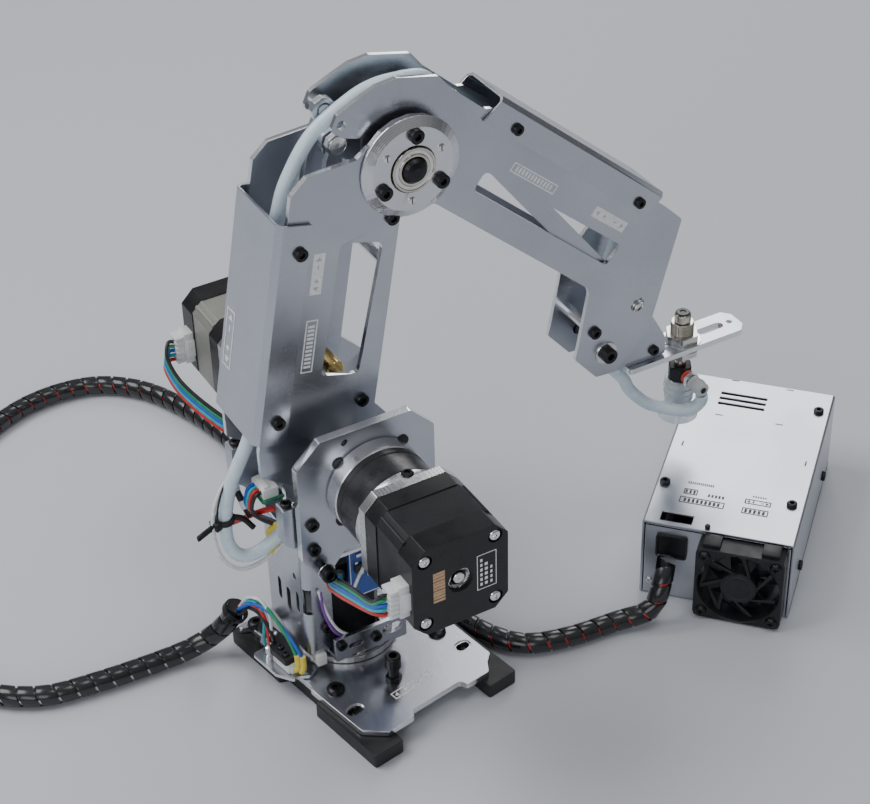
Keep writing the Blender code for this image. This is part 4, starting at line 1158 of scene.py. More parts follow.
# ---- turntable, column and board ----
def column():
    # bent floor bracket: flanges with a slot, an oval window and screws
    holes_near = [slot(-9.8, 24.4, -5.4, 24.4, 1.3), slot(8.4, 25.4, 12.6, 25.4, 2.7)]
    wall = rounded([(-17.4, 18.2), (-10.0, 18.2), (-10.0, 19.0), (-3.0, 19.0), (-3.0, 18.2), (6.0, 18.2),
                    (6.0, 19.0), (11.5, 19.0), (11.5, 18.2), (17.4, 18.2), (17.4, 30.4), (-17.4, 30.4)],
                   0.35, 2)
    bm = bmesh.new()
    add_prism(bm, [wall] + holes_near, -24.6, -22.6, "xz")
    add_prism(bm, [rounded(rectangle(-17.4, 18.2, 17.4, 30.4), 0.8, 3)], 22.6, 24.6, "xz")
    add_prism(bm, [rectangle(-17.4, -22.8, 17.4, 22.8), circle(0, 0, 8.0, 32)], 18.2, 20.2, "xy")
    bracket = piece("bracket_folded", bm, BENT, TURN, 0.25)
    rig.replaces(bracket, "turntable_bracket")
    screws("bracket_screw", TURN, [(2.3, -24.6, 24.4), (-14.6, -24.6, 27.0)], (0, -1, 0), "m25")
    screws("bracket_floor_screw", TURN, [(-12.5, -8.0, 20.2), (11.8, -9.0, 20.2), (11.8, 14.0, 20.2)],
           (0, 0, 1), "m3")
    # column: near wall, back wall with slots, far wall
    bm = bmesh.new()
    back_holes = [slot(-0.7, 37.2, -0.7, 46.0, 1.9), slot(-9.8, 42.6, -9.8, 50.4, 1.5),
                  slot(8.0, 37.2, 8.0, 46.0, 1.6), circle(-8.2, 60.0, 1.5, 18), circle(12.6, 66.0, 1.5, 18)]
    top = [(-13.4, 20.6), (18.6, 20.6), (18.6, 79.0), (9.0, 79.0), (6.0, 74.0), (-4.0, 74.0),
           (-7.0, 79.0), (-13.4, 79.0)]
    add_prism(bm, [rounded(top, [0, 0, 0, 1.5, 2.5, 2.5, 1.5, 0], 3)] + back_holes, -27.0, -25.2, "yz")
    # near bend, with an upright slot through it
    for i0, i1, z0, z1 in ((0, 12, 20.6, 43.4), (0, 12, 57.4, 79.0),
                           (0, 2, 43.4, 57.4), (10, 12, 43.4, 57.4)):
        turn = [radians(180.0 + 7.5 * i) for i in range(i0, i1 + 1)]
        outer = [(-22.8 + 4.2 * cos(a), -13.4 + 4.2 * sin(a)) for a in turn]
        inner = [(-22.8 + 2.4 * cos(a), -13.4 + 2.4 * sin(a)) for a in reversed(turn)]
        add_prism(bm, [outer + inner], z0, z1)
    add_prism(bm, [rounded([(-22.8, 20.6), (-14.5, 20.6), (-14.5, 76.0), (-16.5, 79.0), (-22.8, 79.0)],
                           [0, 0.5, 1, 1, 0], 2)], -17.6, -15.8, "xz")
    turn = [radians(90.0 + i * 11.25) for i in range(9)]
    outer = [(-23.7 + 3.3 * cos(a), 18.6 + 3.3 * sin(a)) for a in turn]
    inner = [(-23.7 + 1.5 * cos(a), 18.6 + 1.5 * sin(a)) for a in reversed(turn)]
    add_prism(bm, [outer + inner], 20.6, 79.0)
    add_prism(bm, [rounded(rectangle(-23.7, 20.6, 16.0, 79.0), 0.6, 2)]
              + [circle(6.0, 30.0, 1.6, 18), slot(-12.0, 52.0, 2.0, 52.0, 3.0)], 20.1, 21.9, "xz")
    sheet = piece("column_folded", bm, BENT, TURN, 0.2)
    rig.replaces(sheet, "column_sheet")
    screw("column_screw_low", TURN, (-17.7, -17.6, 34.0), (0, -1, 0), "m3")
    screws("column_far_screw", TURN, [(6.0, 21.9, 30.0), (10.0, 21.9, 70.0)], (0, 1, 0), "m3")
    # long cap screw that clamps the near side plate, washer under its head
    screw("plate_clamp", TURN, (-24.6, -36.4, 82.6), (0, -1, 0), "m4", shank=16.0)
    washer("plate_clamp_washer", TURN, (-24.6, -36.2, 82.6), (0, -1, 0), 2.2, 3.9, 0.5, STEEL)
    screws("side_plate_screw", TURN, [(-28.1, -SIDE_OUT, 106.6), (-28.1, -SIDE_OUT, 93.7)], (0, -1, 0), "m3")
    screws("side_plate_top_screw", TURN, [(-11.0, -31.2, 141.6)], (-0.7, 0, 0.7), "m25")
    screws("side_plate_far_screw", TURN, [(-28.1, SIDE_OUT, 106.6), (-28.1, SIDE_OUT, 93.7),
                                          (-24.6, SIDE_OUT, 84.0), (22.0, SIDE_OUT, 100.0)], (0, 1, 0), "m3")
    screws("cap_screw", TURN, [(-20.0, -22.0, 81.4), (-20.0, 22.0, 81.4), (14.0, 22.0, 81.4),
                               (14.0, -22.0, 81.4)], (0, 0, 1), "m3")
    # milled blocks with small screws behind the side plates
    for tag, s in (("near", -1), ("far", 1)):
        lo, hi = sorted((s * 27.4, s * 20.6))
        bm = bmesh.new()
        add_prism(bm, [rounded([(-38.2, 95.7), (-34.2, 92.6), (-30.4, 92.6), (-30.4, 113.5), (-38.2, 113.5)],
                               0.9, 3)], lo, hi, "xz")
        piece("milled_block_" + tag, bm, BENT, TURN, 0.3)
        washer("milled_eye_" + tag, TURN, (-36.6, s * 24.0, 94.4), (-0.62, 0, -0.78), 0.9, 1.9, 0.35, STEEL)
        screw("milled_screw_" + tag, TURN, (-35.0, s * 24.0, 113.5), (0, 0, 1), "m25", BLACK_STEEL)
        screw("milled_pan_" + tag, TURN, (-32.2, s * 24.0, 113.5), (0, 0, 1), "pan_small", CHROME)


def board_bits():
    """Parts on the blue board, and the small green board with its socket."""
    y0 = -20.8
    bm = bmesh.new()
    for x, z, w, h, t in ((-2.0, 70.4, 3.0, 1.6, 0.8), (2.2, 73.4, 1.6, 2.6, 0.7),
                          (-3.6, 66.0, 1.4, 2.4, 0.7), (5.0, 69.2, 2.4, 1.3, 0.6),
                          (-1.0, 60.2, 1.5, 2.2, 0.6), (11.0, 72.0, 2.6, 1.4, 0.7),
                          (12.6, 64.4, 1.5, 2.8, 0.7)):
        add_block(bm, x - w / 2, x + w / 2, y0 - t, y0 + 0.1, z - h / 2, z + h / 2, 0.12)
    piece("board_parts_light", bm, SOLDER, TURN)
    bm = bmesh.new()
    add_block(bm, -4.6, 0.8, y0 - 1.3, y0 + 0.1, 61.4, 65.6, 0.2)
    add_block(bm, 6.0, 12.0, y0 - 1.2, y0 + 0.1, 56.0, 61.5, 0.2)
    piece("board_chips", bm, CHIP, TURN)
    bm = bmesh.new()
    for i in range(5):
        add_block(bm, 1.4, 5.2, y0 - 0.7, y0 - 0.2, 57.6 + i * 1.9, 58.3 + i * 1.9, 0.12)
        add_block(bm, 1.2, 1.9, y0 - 0.7, y0 + 0.1, 57.5 + i * 1.9, 58.4 + i * 1.9, 0.1)
    piece("board_pins", bm, SOLDER, TURN)
    bm = bmesh.new()
    outline = rectangle(-6.6, 47.4, 16.6, 78.0)
    add_prism(bm, [outline, rectangle(-6.2, 47.8, 16.2, 77.6)], y0 - 0.05, y0 + 0.02, "xz")
    piece("board_rim_print", bm, WHITE_INK, TURN, smooth=None)
    screws("board_screw", TURN, [(-4.4, y0, 75.4), (14.2, y0, 75.4)], (0, -1, 0), "pan_small", CHROME)
    screws("board_screw_low", TURN, [(14.2, y0, 50.0)], (0, -1, 0), "pan_small", CHROME)
    wire("board_lead_white", [(-5.0, -21.6, 52.0), (-6.6, -24.0, 56.0), (-4.0, -27.6, 68.0),
                              (1.5, -30.5, 79.0), (4.0, -31.0, 86.0), (2.0, -27.0, 92.0)], 0.75,
         WIRE["white"], TURN)
    wire("board_lead_purple", [(-20.5, -19.4, 56.0), (-19.6, -20.6, 44.0), (-16.4, -21.6, 34.0),
                               (-11.0, -21.0, 27.6), (-6.0, -19.0, 23.0)], 0.7, WIRE["purple"], TURN)
    wire("board_lead_pale", [(-21.2, -19.0, 57.0), (-18.8, -20.6, 45.0), (-15.0, -21.8, 35.0),
                             (-9.6, -21.6, 28.6), (-4.0, -20.0, 24.6), (2.0, -17.0, 23.0)], 0.7,
         WIRE["white"], TURN)
    # capacitor can and its wires low beside the board
    turned("board_can", [(2.6, 21.0), (3.2, 21.4), (3.2, 27.6), (2.9, 28.2), (2.4, 28.2), (2.2, 28.0)], "z",
           CHROME, TURN, 28, (9.6, -19.6, 0.0))
    # green board and white socket between the arm plates
    block("green_board", -41.0, -31.0, -14.4, -1.4, 109.6, 110.8, PCB_GREEN, TURN, 0.15)
    bm = bmesh.new()
    add_block(bm, -40.0, -33.0, -13.4, -2.4, 110.7, 115.4, 0.3)
    add_block(bm, -39.2, -36.6, -12.6, -3.2, 115.2, 116.4, 0.3)
    piece("green_board_socket", bm, NYLON, TURN)
    bm = bmesh.new()
    add_block(bm, -32.6, -31.3, -13.0, -10.4, 110.7, 111.8, 0.2)
    add_block(bm, -32.6, -31.3, -7.4, -4.0, 110.7, 111.9, 0.2)
    piece("green_board_chips", bm, CHIP, TURN)
    for i, tag in enumerate(("blue", "cyan", "red", "black")):
        o = i * 2.2
        wire("socket_lead_" + tag, [(-39.4, -4.6 - o, 113.6), (-43.0, -4.6 - o, 112.0),
                                    (-44.2, -4.2 - 0.9 * o, 104.5), (-40.0, -3.0 - 0.7 * o, 97.0),
                                    (-34.0, -1.0 - 0.6 * o, 90.0), (-28.6, 2.0 - 0.5 * o, 83.5),
                                    (-22.0, 3.0 - 0.5 * o, 76.0)], 0.8, WIRE[tag], TURN)


def column_wiring():
    """White loop, sleeves and the tie behind the column."""
    wire("loop_white", [(-24.0, -9.0, 83.5), (-31.0, -8.6, 80.5), (-41.0, -8.6, 75.2), (-50.5, -8.0, 74.6),
                        (-57.6, -6.4, 82.0), (-59.8, -4.6, 94.0), (-58.0, -2.4, 105.0),
                        (-52.6, 0.8, 112.0), (-46.8, 2.4, 116.0)],
         0.95, WIRE["white"], TURN, 8)
    wire("loop_thin", [(-47.2, 2.4, 117.0), (-53.0, -1.4, 113.0), (-57.4, -4.6, 105.0),
                       (-57.0, -5.2, 98.0)], 0.45, WIRE["black"], TURN)
    wire("red_lead", [(-46.6, 6.4, 88.0), (-43.0, 1.0, 93.0), (-38.0, -5.0, 98.4), (-33.6, -9.0, 101.0)],
         1.25, WIRE["red"], TURN, 8)
    sleeves = (((-37.4, -8.4, 78.8), (-31.2, -8.8, 84.6)), ((-35.6, -4.4, 84.6), (-31.4, -6.4, 89.4)),
               ((-31.6, -10.6, 84.4), (-28.2, -12.0, 86.4)), ((-30.6, -15.0, 85.0), (-27.0, -16.0, 86.6)))
    for i, (a, b) in enumerate(sleeves):
        mid = tuple((p + q) / 2 for p, q in zip(a, b))
        wire("sleeve_%d" % (i + 1), [a, (mid[0], mid[1], mid[2] + 0.8), b], 1.7, YELLOW, TURN, 6, 14)
    wire("marked_lead_dark", [(-46.6, 2.8, 116.4), (-46.0, 0.6, 110.0), (-44.6, -2.0, 103.6),
                              (-42.6, -3.4, 97.0)], 1.5,
         WIRE["black"], TURN)
    wire("marked_lead_band_1", [(-46.3, 1.6, 112.8), (-45.9, 0.3, 109.4)], 1.7, WIRE["white"], TURN)
    wire("marked_lead_band_2", [(-45.0, -1.5, 105.2), (-44.0, -2.6, 101.4)], 1.7, WIRE["white"], TURN)
    tie("tube_tie", TURN, (-53.4, -2.6, 99.3), (-0.12, -0.1, 1.0), TUBE_R + 0.15, (-0.95, -0.3, 0.1), 9.0)
    wire("tie_strap", [(-50.6, -3.0, 99.6), (-46.4, -5.0, 98.0), (-43.0, -7.6, 93.6)], 1.3, BLACK_PLASTIC,
         TURN)


def limit_switch():
    """White switch body under a dark retaining bar, on its flange."""
    bm = bmesh.new()
    add_block(bm, -38.4, -31.2, -8.4, 3.2, 12.5, 17.4, 0.4)
    add_block(bm, -37.4, -32.2, -9.6, -8.2, 12.5, 16.0, 0.25)
    body = piece("switch_body", bm, NYLON, BASE)
    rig.replaces(body, "limit_switch")
    prism("switch_bar", [rounded([(-39.4, -8.2), (-31.2, -8.2), (-31.2, 1.6), (-29.8, 4.6), (-29.8, 19.0),
                                  (-35.0, 19.0), (-35.0, 6.0), (-39.4, 3.4)], 1.2, 3)], 17.5, 20.4, "xy",
          BLACK_PLASTIC, BASE, 0.4)
    screws("switch_screw", BASE, [(-36.6, -4.6, 20.4), (-35.6, 0.6, 20.4)], (0, 0, 1), "pan_small",
           BLACK_STEEL)
    screws("switch_bar_screw", BASE, [(-32.6, 9.6, 20.4), (-32.4, 15.6, 20.4)], (0, 0, 1), "pan_small",
           CHROME)
    turned("switch_post", [(1.9, 12.3), (1.9, 15.0), (1.5, 15.3), (1.5, 16.0), (1.9, 16.3), (1.9, 19.6),
                           (1.1, 20.0), (1.1, 21.2)], "z", CHROME, BASE, 24, (-38.4, 5.4, 0.0))
    for i, (x, y) in enumerate(((-34.7, -10.6), (-33.4, -13.0))):
        wire("switch_sleeve_%d" % (i + 1), [(x - 0.6, y + 1.2, 13.6), (x, y, 17.0), (x + 0.2, y + 0.6, 22.6)],
             1.35, YELLOW, BASE, 5, 14)
    # pale stop beside the bracket
    block("stop_block", -24.0, -19.4, -19.4, -13.0, 14.2, 20.4, NYLON, TURN, 0.5)


# ---- air tube across the joints ----
def along(where, pts):
    return [tuple(where[0] @ Vector(p)) for p in pts]


def hose(name, route, pair, start, end, nodes, per_leg=9):
    """One length of air tube that bends between two bodies."""
    bm = bmesh.new()
    add_tube(bm, smooth_path(route, per_leg), TUBE_R, 22, 1.7)
    obj = piece(name, bm, TUBE_SILICONE, (Matrix.Identity(4), None), smooth=60)
    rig.slot(obj, "milky_silicone")
    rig.replaces(obj, *nodes)
    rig.blend(obj, pair[0], pair[1], tuple(Vector(start) * MM), tuple(Vector(end) * MM))


def air_tube():
    low = along(TURN, [(-20.0, -5.0, 93.0), (-30.0, -8.4, 87.4), (-41.0, -7.6, 80.6), (-49.0, -6.0, 80.0),
                       (-53.6, -4.2, 87.0), (-53.2, -2.6, 99.3), (-48.6, -1.2, 115.0)])
    up = along(LOWER, [(-41.6, -1.0, 6.0), (-41.2, -1.0, 22.0), (-42.0, -1.0, 50.0), (-44.0, -1.0, 80.0),
                       (-44.5, -1.0, 108.0)])
    hose("hose_shoulder", low + up, ("turret", "lower_arm"), low[4], up[1],
         ["air_tube_turret", "air_tube_lower"])
    rise = along(LOWER, [(-44.5, -1.0, 107.0), (-42.6, -0.8, 122.0), (-34.5, -0.4, 141.0)])
    over = along(TRIANGLE, [(-15.0, 0.0, 24.5), (-4.0, 0.0, 27.6), (8.0, 0.0, 27.4)])
    hose("hose_elbow", rise + over, ("lower_arm", "triangle"), rise[0], over[0], ["air_tube_elbow"])
    start = along(TRIANGLE, [(7.4, 0.0, 27.5), (17.5, 0.4, 24.6)])
    inside = along(FORE, [(9.0, 1.0, 30.0), (26.0, 1.5, 34.0), (55.0, 2.5, 40.0), (85.0, 2.5, 45.5),
                          (110.0, 2.5, 48.0)])
    hose("hose_forearm", start + inside, ("triangle", "forearm"), start[0], inside[1], ["air_tube_fore"])
    drop = along(FORE, [(109.4, 2.5, 48.0), (124.0, 3.0, 47.0)])
    wrist = along(HAND, [(9.5, 4.0, 30.0), (9.5, 4.0, 5.0), (10.0, 3.5, -12.0), (13.0, 2.0, -22.0)])
    hose("hose_wrist", drop + wrist, ("forearm", "hand"), drop[0], wrist[1], [])
    end = along(HAND, [(12.8, 2.1, -21.6), (18.3, 0.5, -28.5), (21.5, -0.5, -35.5), (28.7, -2.3, -44.0),
                       (34.5, -5.0, -47.3), (42.0, -10.6, -48.8), (47.0, -14.2, -47.4),
                       (50.4, -15.8, -43.6), (50.2, -16.6, -39.4)])
    hose("hose_suction", end, ("hand", "sucker"), end[3], end[7], ["air_tube_hand"])


# ---- lower arm and elbow ----
def arm_details():
    for tag, s in (("near", -1.0), ("far", 1.0)):
        out = (0.0, s, 0.0)
        screws("arm_screw_" + tag, LOWER, [(-3.4, s * ARM_OUT, 111.8), (-1.8, s * ARM_OUT, 29.5)], out, "m3")
        screws("cover_screw_" + tag, LOWER, [(-42.3, s * (ARM_OUT + 1.6), 100.5),
                                             (-39.9, s * (ARM_OUT + 1.6), 24.7)], out, "m3")
        hub = s * 21.05
        for i, a in enumerate((85.0, 205.0, 325.0)):
            screw("hub_screw_%s_%d" % (tag, i + 1), ELBOW_HUB,
                  (14.4 * cos(radians(a)), hub, 14.4 * sin(radians(a))), out, "cap")
        for i, a in enumerate((25.0, 145.0, 265.0)):
            x, z = 13.6 * cos(radians(a)), 13.6 * sin(radians(a))
            turned("hub_pin_%s_%d" % (tag, i + 1),
                   [(1.7, s * 20.4), (1.7, hub + s * 0.15), (1.3, hub + s * 0.35), (0.5, hub + s * 0.35)],
                   "y", CHROME, ELBOW_HUB, 24, (x, 0, z))
            # a dark bar across each pin head: painted shade of the pin's slot
            slot_y = sorted((hub + s * 0.3, hub + s * 0.4))
            block("hub_pin_slot_%s_%d" % (tag, i + 1), x - 0.22, x + 0.22, *slot_y,
                  z - 1.25, z + 1.25, BLACK_STEEL, ELBOW_HUB)
        # shield ring between bearing races, and a hex socket on the axle end
        turned("hub_shield_" + tag, [(7.0, s * 21.3), (8.3, s * 21.3), (8.3, s * 21.65), (7.0, s * 21.65)],
               "y", CHROME, ELBOW_HUB, 40, ring=True)
        turned("axle_socket_" + tag, [(2.0, s * 24.2), (hexagon(1.9), s * 24.45), (hexagon(1.7), s * 24.3),
                                      (hexagon(1.7), s * 23.0)], "y", BLACK_STEEL, ELBOW_HUB, 30)
    # linkage eyes: thin washers on every pin
    for tag, where, x, z in (("level_low", TURN, -26.0, SHOULDER.z + 12.7),
                             ("level_high", TRIANGLE, REAR_PIN[0], REAR_PIN[1]),
                             ("upper_high", TRIANGLE, TOP_PIN[0], TOP_PIN[1]),
                             ("upper_low", HAND, TOP_PIN[0], TOP_PIN[1])):
        washer("eye_washer_" + tag, where, (x, -9.62, z), (0, -1, 0), 1.2, 3.7, 0.25, STEEL)
    turned("brass_sleeve", [(3.4, 1.0), (3.8, 1.5), (3.8, 13.2), (3.4, 13.7)], "y", BRASS, LOWER, 28,
           (-4.4, 0, 33.0))
    # marks
    slant = (-0.047, 0.0, 1.0)
    arrow_mark("mark_lower_arrow", on_face(LOWER, (-32.4, -ARM_OUT, 90.0), slant, (-1, 0, -0.047)),
               18.0, 5.0, True)
    bar_mark("mark_lower_bars", on_face(LOWER, (-30.6, -ARM_OUT, 57.7), slant, (-1, 0, -0.047)),
             24.0, 5.2, 11)
    arrow_mark("mark_cover_arrow", on_face(LOWER, (-50.62, 11.0, 48.0), slant, (0, 1, 0)), 26.0, 6.8)
    arrow_mark("mark_lower_arrow_far", on_face(LOWER, (-32.4, ARM_OUT, 90.0), slant, (1, 0, 0.047)),
               18.0, 5.0, True)
    # bearing carrier behind the shoulder plates
    for tag, s in (("near", -1.0), ("far", 1.0)):
        turned("shoulder_collar_" + tag,
               [(11.0, s * 28.8), (13.4, s * 28.8), (13.4, s * 26.6), (11.0, s * 26.6)],
               "y", STEEL, TURN, 40, (0, 0, SHOULDER.z), ring=True)


# ---- forearm and hand ----
def forearm_details():
    for tag, s in (("near", -1.0), ("far", 1.0)):
        out = (0.0, s, 0.0)
        screws("fore_cover_screw_" + tag, FORE, [(32.1, s * (FORE_OUT + 1.5), 39.5),
                                                 (110.4, s * (FORE_OUT + 1.5), 54.9)], out, "m25")
        screws("fore_screw_" + tag, FORE, [(145.7, s * FORE_OUT, 2.9)], out, "m3")
    washer("wrist_washer", FORE, (FORE_LEN, -FORE_OUT, 0.0), (0, -1, 0), 2.5, 5.4, 0.7, STEEL)
    screw("wrist_screw", FORE, (FORE_LEN, -FORE_OUT - 0.6, 0.0), (0, -1, 0), "m4")
    washer("wrist_ring", HAND, (TOP_PIN[0], -9.9, TOP_PIN[1]), (0, -1, 0), 1.6, 3.2, 1.4, STEEL)
    slope = (1.0, 0.0, 0.212)
    up = (-0.212, 0.0, 1.0)
    bar_mark("mark_fore_bars", on_face(FORE, (57.9, -FORE_OUT, 30.8), slope, up), 27.0, 4.4, 12)
    arrow_mark("mark_fore_arrow", on_face(FORE, (105.5, -FORE_OUT, 41.2), slope, up), 20.8, 4.9, True)
    back = (-1.0, 0.0, -0.212)
    bar_mark("mark_fore_bars_far", on_face(FORE, (57.9, FORE_OUT, 30.8), back, up), 27.0, 4.4, 12)
    # screws of the hand
    screws("hand_screw", HAND, [(30.0, -5.6, -13.6), (10.0, -5.6, -11.0)], (0, -1, 0), "m25")
    screws("hand_screw_far", HAND, [(30.0, -2.6, -13.6)], (0, 1, 0), "m25")


def suction():
    """Threads, barb cap and lip of the suction end."""
    bm = bmesh.new()
    rows = [(5.02, -26.3)]
    for i in range(22):
        z = -26.1 + i * 0.82
        rows += [(5.02, z), (5.34, z + 0.41)]
    rows += [(5.02, -8.05)]
    add_turned(bm, rows, "z", 40, (CUP_X, 0, 0))
    piece("bush_thread", bm, NICKEL, HAND, smooth=20)
    washer("bush_washer", HAND, (CUP_X, 0.0, -18.0), (0, 0, 1), 5.4, 8.9, 0.35, CHROME)
    washer("bush_washer_low", HAND, (CUP_X, 0.0, -20.85), (0, 0, -1), 5.4, 8.9, 0.3, CHROME)
    turned("stem_cap", [(3.3, -3.75), (3.3, -3.3), (2.9, -2.9), (1.4, -2.9), (1.1, -3.3)], "z",
           BLACK_ANODISED, CUP, 32)
    # barb and milky cap on the side fitting
    bm = bmesh.new()
    add_turned(bm, [(1.5, -18.6), (2.9, -18.6), (3.3, -18.1), (3.4, -15.6), (3.6, -15.2), (3.6, -14.0),
                    (3.25, -13.6), (3.25, -11.0), (3.22, -10.8)], "y", 32, (0, 0, -35.6))
    piece("fitting_cap", bm, CLEAR_CAP, CUP)
    # a black plug in the mouth of the barb: painted shade of its bore
    turned("fitting_bore_shade", [(1.46, -18.7), (1.46, -18.2), (1.2, -17.0)], "y", BLACK_PLASTIC, CUP, 20,
           (0, 0, -35.6))
    turned("fitting_hex", [(hexagon(3.4), -9.9), (hexagon(3.4), -8.0), (2.6, -7.7)], "y", CHROME, CUP, 36,
           (0, 0, -35.6))
    for i, (r, h) in enumerate(((6.98, -43.2), (6.92, -46.4))):
        turned("cup_rib_%d" % (i + 1), [(r - 0.5, h - 0.5), (r + 0.25, h - 0.2), (r + 0.25, h + 0.2),
                                        (r - 0.5, h + 0.5)], "z", CUP_SILICONE, CUP, 40, ring=True)
    turned("cup_core", [(1.9, -51.4), (1.9, -39.2)], "z", STEEL, CUP, 24)
    washer("cup_plate", CUP, (0, 0, -39.35), (0, 0, 1), 1.5, 5.4, 0.35, STEEL)


# ---- base plate ----
def base_details():
    screws("plate_screw", BASE, [(-27.5, -27.5, PLATE_TOP), (29.0, -28.5, PLATE_TOP),
                                 (-28.6, 29.3, PLATE_TOP), (29.0, 29.3, PLATE_TOP)], (0, 0, 1), "button")
    for tag, x in (("left", -28.8), ("right", 32.0)):
        bm = bmesh.new()
        add_prism(bm, [slot(x - 1.3, -42.5, x + 1.3, -42.5, 2.9), slot(x - 1.2, -42.5, x + 1.2, -42.5, 2.1)],
                  7.5, 9.6)
        piece("slot_liner_" + tag, bm, STEEL, BASE)
        screw("slot_screw_" + tag, BASE, (x, -42.5, 7.1), (0, 0, 1), "pan_small", BLACK_STEEL)
    post = (-4.1, -38.6, 0)
    bm = bmesh.new()
    add_turned(bm, [(2.9, 24.0), (2.9, 24.15), (hexagon(1.75), 24.12), (hexagon(1.7), 23.9),
                    (hexagon(1.7), 21.2)], "z", 36, post)
    piece("stop_socket", bm, BLACK_STEEL, BASE)
    turned("stop_nut", [(hexagon(3.2), 10.3), (hexagon(3.2), 12.2), (2.7, 12.5)], "z", BLACK_STEEL, BASE, 36,
           post)
    arrow_mark("mark_base_arrow", on_face(BASE, (-0.6, -46.9, PLATE_TOP), (1, 0.03, 0), (-0.03, 1, 0)),
               21.6, 4.2)
    # grub screws round the fixed ring, and round pads in the foot rails
    screws("ring_screw", BASE, [(21.6 * cos(radians(a)), 21.6 * sin(radians(a)), 13.3)
                                for a in (250.0, 310.0, 20.0, 80.0, 140.0)], (0, 0, 1), "grub", STEEL)
    for i, (x, y) in enumerate(((-30.2, -62.0), (33.8, -62.0), (-30.2, 31.0), (33.8, 31.0))):
        turned("foot_pad_%d" % (i + 1), [(3.6, 0.0), (3.6, 0.5), (3.2, 0.8)], "z", BLACK_PLASTIC, BASE, 24,
               (x, y, 0.0))


# ---- controller box ----
DARK_INK = coated("dark_print", (0.06, 0.06, 0.07), 0.55, 0.06, 900.0, 0.2, 0.00003)


def box_details():
    top = BOX_H
    screws("box_screw", BOX, [(63.5, 101.4, top), (4.2, 29.0, top), (63.0, 28.0, top)], (0, 0, 1), "m25")
    # dark slot-shaped plates on the lid: painted shade of the through slots
    bm = bmesh.new()
    for x, y in ((20.5, 116.0), (47.5, 115.2), (18.0, 86.5), (47.0, 86.5)):
        add_prism(bm, [slot(x - 1.6, y, x + 1.6, y, 0.35, 4)], top - 0.3, top + 0.03)
    for x, y in ((5.9, 104.0), (5.9, 60.0), (64.0, 60.0)):
        add_prism(bm, [slot(x, y - 1.6, x, y + 1.6, 0.35, 4)], top - 0.3, top + 0.03)
    piece("box_tab_slot_shade", bm, BLACK_PLASTIC, BOX, smooth=None)
    # terminal block seen through the small window
    bm = bmesh.new()
    add_block(bm, 8.2, 21.4, 2.2, 8.4, 30.0, 38.2, 0.4)
    piece("window_block", bm, BLACK_PLASTIC, BOX)
    bm = bmesh.new()
    for i in range(4):
        add_block(bm, 9.6 + i * 3.0, 11.2 + i * 3.0, 4.2, 6.0, 38.1, 38.7, 0.2)
    piece("window_terminals", bm, RED_RUBBER, BOX)
    turned("box_front_post", [(1.2, 41.6), (1.2, 44.0), (0.9, 44.4)], "z", BLACK_STEEL, BOX, 20,
           (29.4, 2.2, 0))
    # cable entry: a black plate fills the opening as painted shade of the box's inside, with a rubber edge
    bm = bmesh.new()
    hole = rounded(rectangle(7.6, 24.6, 20.4, 35.9), 1.2, 3)
    add_prism(bm, [hole], -0.1, 0.35, "xz")
    piece("cable_opening_shade", bm, BLACK_PLASTIC, BOX, smooth=None)
    bm = bmesh.new()
    outer = rounded(rectangle(6.8, 23.8, 21.2, 36.7), 1.8, 3)
    add_prism(bm, [outer, hole], -1.1, 0.3, "xz")
    piece("cable_grommet", bm, FOOT_RUBBER, BOX, 0.3)
    # seam strip where the tray wall tucks under the cover
    bm = bmesh.new()
    add_block(bm, 0.9, BOX_W - 0.9, -0.25, 0.3, 40.6, 41.0, 0.05)
    add_block(bm, BOX_W - 0.02, BOX_W + 0.12, 0.6, BOX_L - 0.6, 2.2, 2.6, 0.03)
    piece("box_seams", bm, BLACK_STEEL, BOX, smooth=None)
    screws("box_side_screw", BOX, [(BOX_W, 24.0, 12.0), (BOX_W, 92.0, 12.0)], (1, 0, 0), "m25")
    screws("box_side_screw_left", BOX, [(0.0, 24.0, 12.0), (0.0, 92.0, 12.0)], (-1, 0, 0), "m25")
    screws("box_front_screw", BOX, [(4.4, 0.2, 8.0)], (0, -1, 0), "pan_small", STEEL)

    def lid(x, y):
        """Place of a mark on the top of the box, centred at x, y."""
        return on_face(BOX, (x, y, top), (1, 0, 0), (0, 1, 0))

    bar_mark("print_bars_1", lid(20.6, 32.0), 14.6, 3.2, 13, False, DARK_INK)
    bar_mark("print_bars_2", lid(17.0, 25.4), 6.4, 4.0, 3, True, DARK_INK)
    bar_mark("print_bars_3", lid(28.9, 24.8), 9.6, 3.6, 5, False, DARK_INK)
    bar_mark("print_bars_4", lid(23.3, 19.2), 20.6, 4.4, 9, True, DARK_INK)
    arrow_mark("print_arrow", lid(47.9, 25.6), 12.0, 3.4, mat=DARK_INK)
    bar_mark("print_bars_5", lid(47.7, 18.8), 12.0, 4.2, 5, True, DARK_INK)
    bar_mark("print_bars_6", lid(48.1, 29.6), 8.0, 2.0, 6, False, DARK_INK)
    # components on the board inside
    bm = bmesh.new()
    for x0, x1, y0, y1, h in ((12, 22, 60, 72, 9.0), (26, 40, 56, 70, 6.0),
                              (46, 58, 40, 60, 12.0), (14, 30, 88, 104, 14.0)):
        add_block(bm, x0, x1, y0, y1, 8.7, 8.7 + h, 0.6)
    piece("box_board_parts", bm, CHIP, BOX)


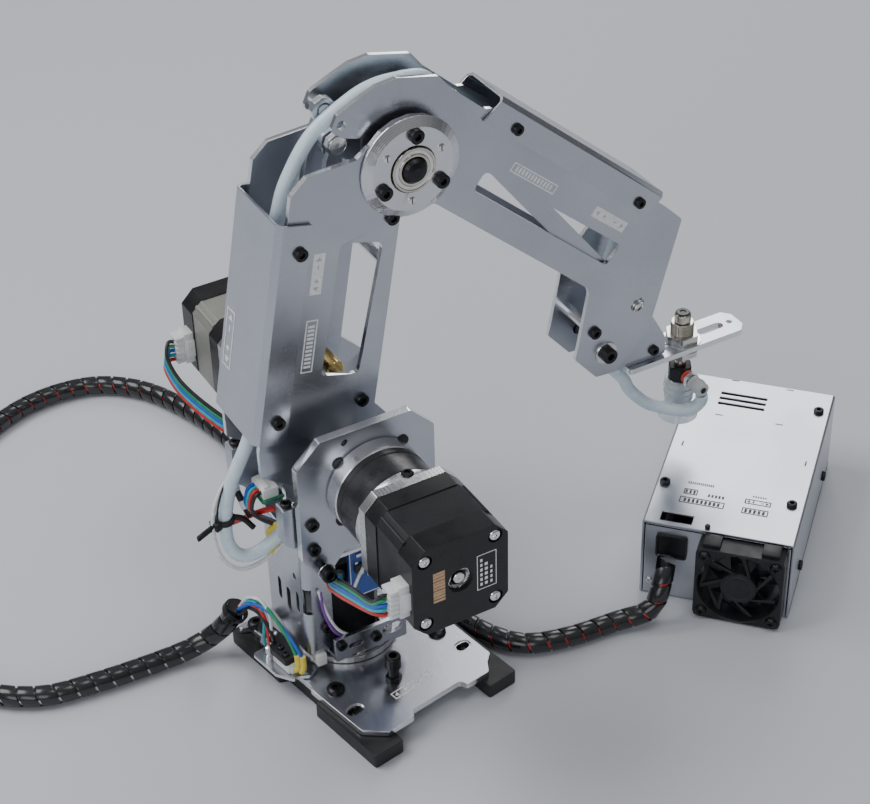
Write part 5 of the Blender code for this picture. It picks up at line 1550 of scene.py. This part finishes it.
def fan():
    for i, (sx, sz) in enumerate(((-16, -16), (-16, 16), (16, -16), (16, 16))):
        screw("fan_screw_%d" % (i + 1), FAN, (sx, -5.0, sz), (0, -1, 0), "pan", BLACK_STEEL)
    # guard struts behind the blades and the label disc on the hub
    bm = bmesh.new()
    front = -4.95
    add_turned(bm, [(18.8, front), (19.4, front - 0.45), (19.9, front)], "y", 64, ring=True)
    piece("fan_lip", bm, FAN_PLASTIC, FAN)
    bm = bmesh.new()
    for k in range(4):
        a = radians(20.0 + 90.0 * k)
        u = Vector((cos(a), 0, sin(a)))
        v = Vector((-sin(a), 0, cos(a)))
        ring = []
        for y in (3.9, 4.8):
            for reach, side in ((6.0, 1.1), (6.0, -1.1), (19.4, -1.1), (19.4, 1.1)):
                ring.append(bm.verts.new(u * reach + v * side + Vector((0, y, 0))))
        bm.faces.new(ring[:4])
        bm.faces.new(ring[4:])
        for j in range(4):
            m = (j + 1) % 4
            bm.faces.new((ring[j], ring[m], ring[4 + m], ring[4 + j]))
    piece("fan_struts", bm, FAN_PLASTIC, FAN)
    turned("fan_hub_cap", [(8.3, -4.0), (8.1, -4.5), (7.2, -4.75), (2.2, -4.75), (1.8, -4.45)], "y",
           FAN_PLASTIC, ROTOR, 48)
    turned("fan_hub_ring", [(5.9, -4.74), (6.2, -4.95), (6.6, -4.95), (6.9, -4.74)], "y", FOOT_RUBBER, ROTOR,
           48, ring=True)
    wire("fan_lead_red", [(-15.0, 1.0, 19.0), (-16.5, 2.0, 21.0), (-17.0, 4.6, 19.0)], 0.6, WIRE["red"], FAN)
    wire("fan_lead_black", [(-13.0, 1.0, 19.2), (-14.5, 2.0, 21.2), (-15.4, 4.6, 19.0)], 0.6, WIRE["black"],
         FAN)
    bm = bmesh.new()
    add_block(bm, -17.5, -9.5, -3.4, 4.4, 19.8, 21.6, 0.3)
    add_block(bm, 9.0, 17.0, -3.4, 4.4, 19.8, 21.6, 0.3)
    piece("fan_tabs", bm, FAN_PLASTIC, FAN)


camera()
studio()
dress_nodes()
harness()
drive("shoulder", -1.0, STACK_DARK)
drive("elbow", 1.0, STACK_GRAY)
column()
board_bits()
column_wiring()
limit_switch()
air_tube()
arm_details()
forearm_details()
suction()
base_details()
box_details()
fan()

LOW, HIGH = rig.bounds()
with open("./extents.json", "w") as size_file:
    json.dump({"cad": [list(CAD_LOW), list(CAD_HIGH)], "visual": [list(LOW), list(HIGH)]}, size_file)
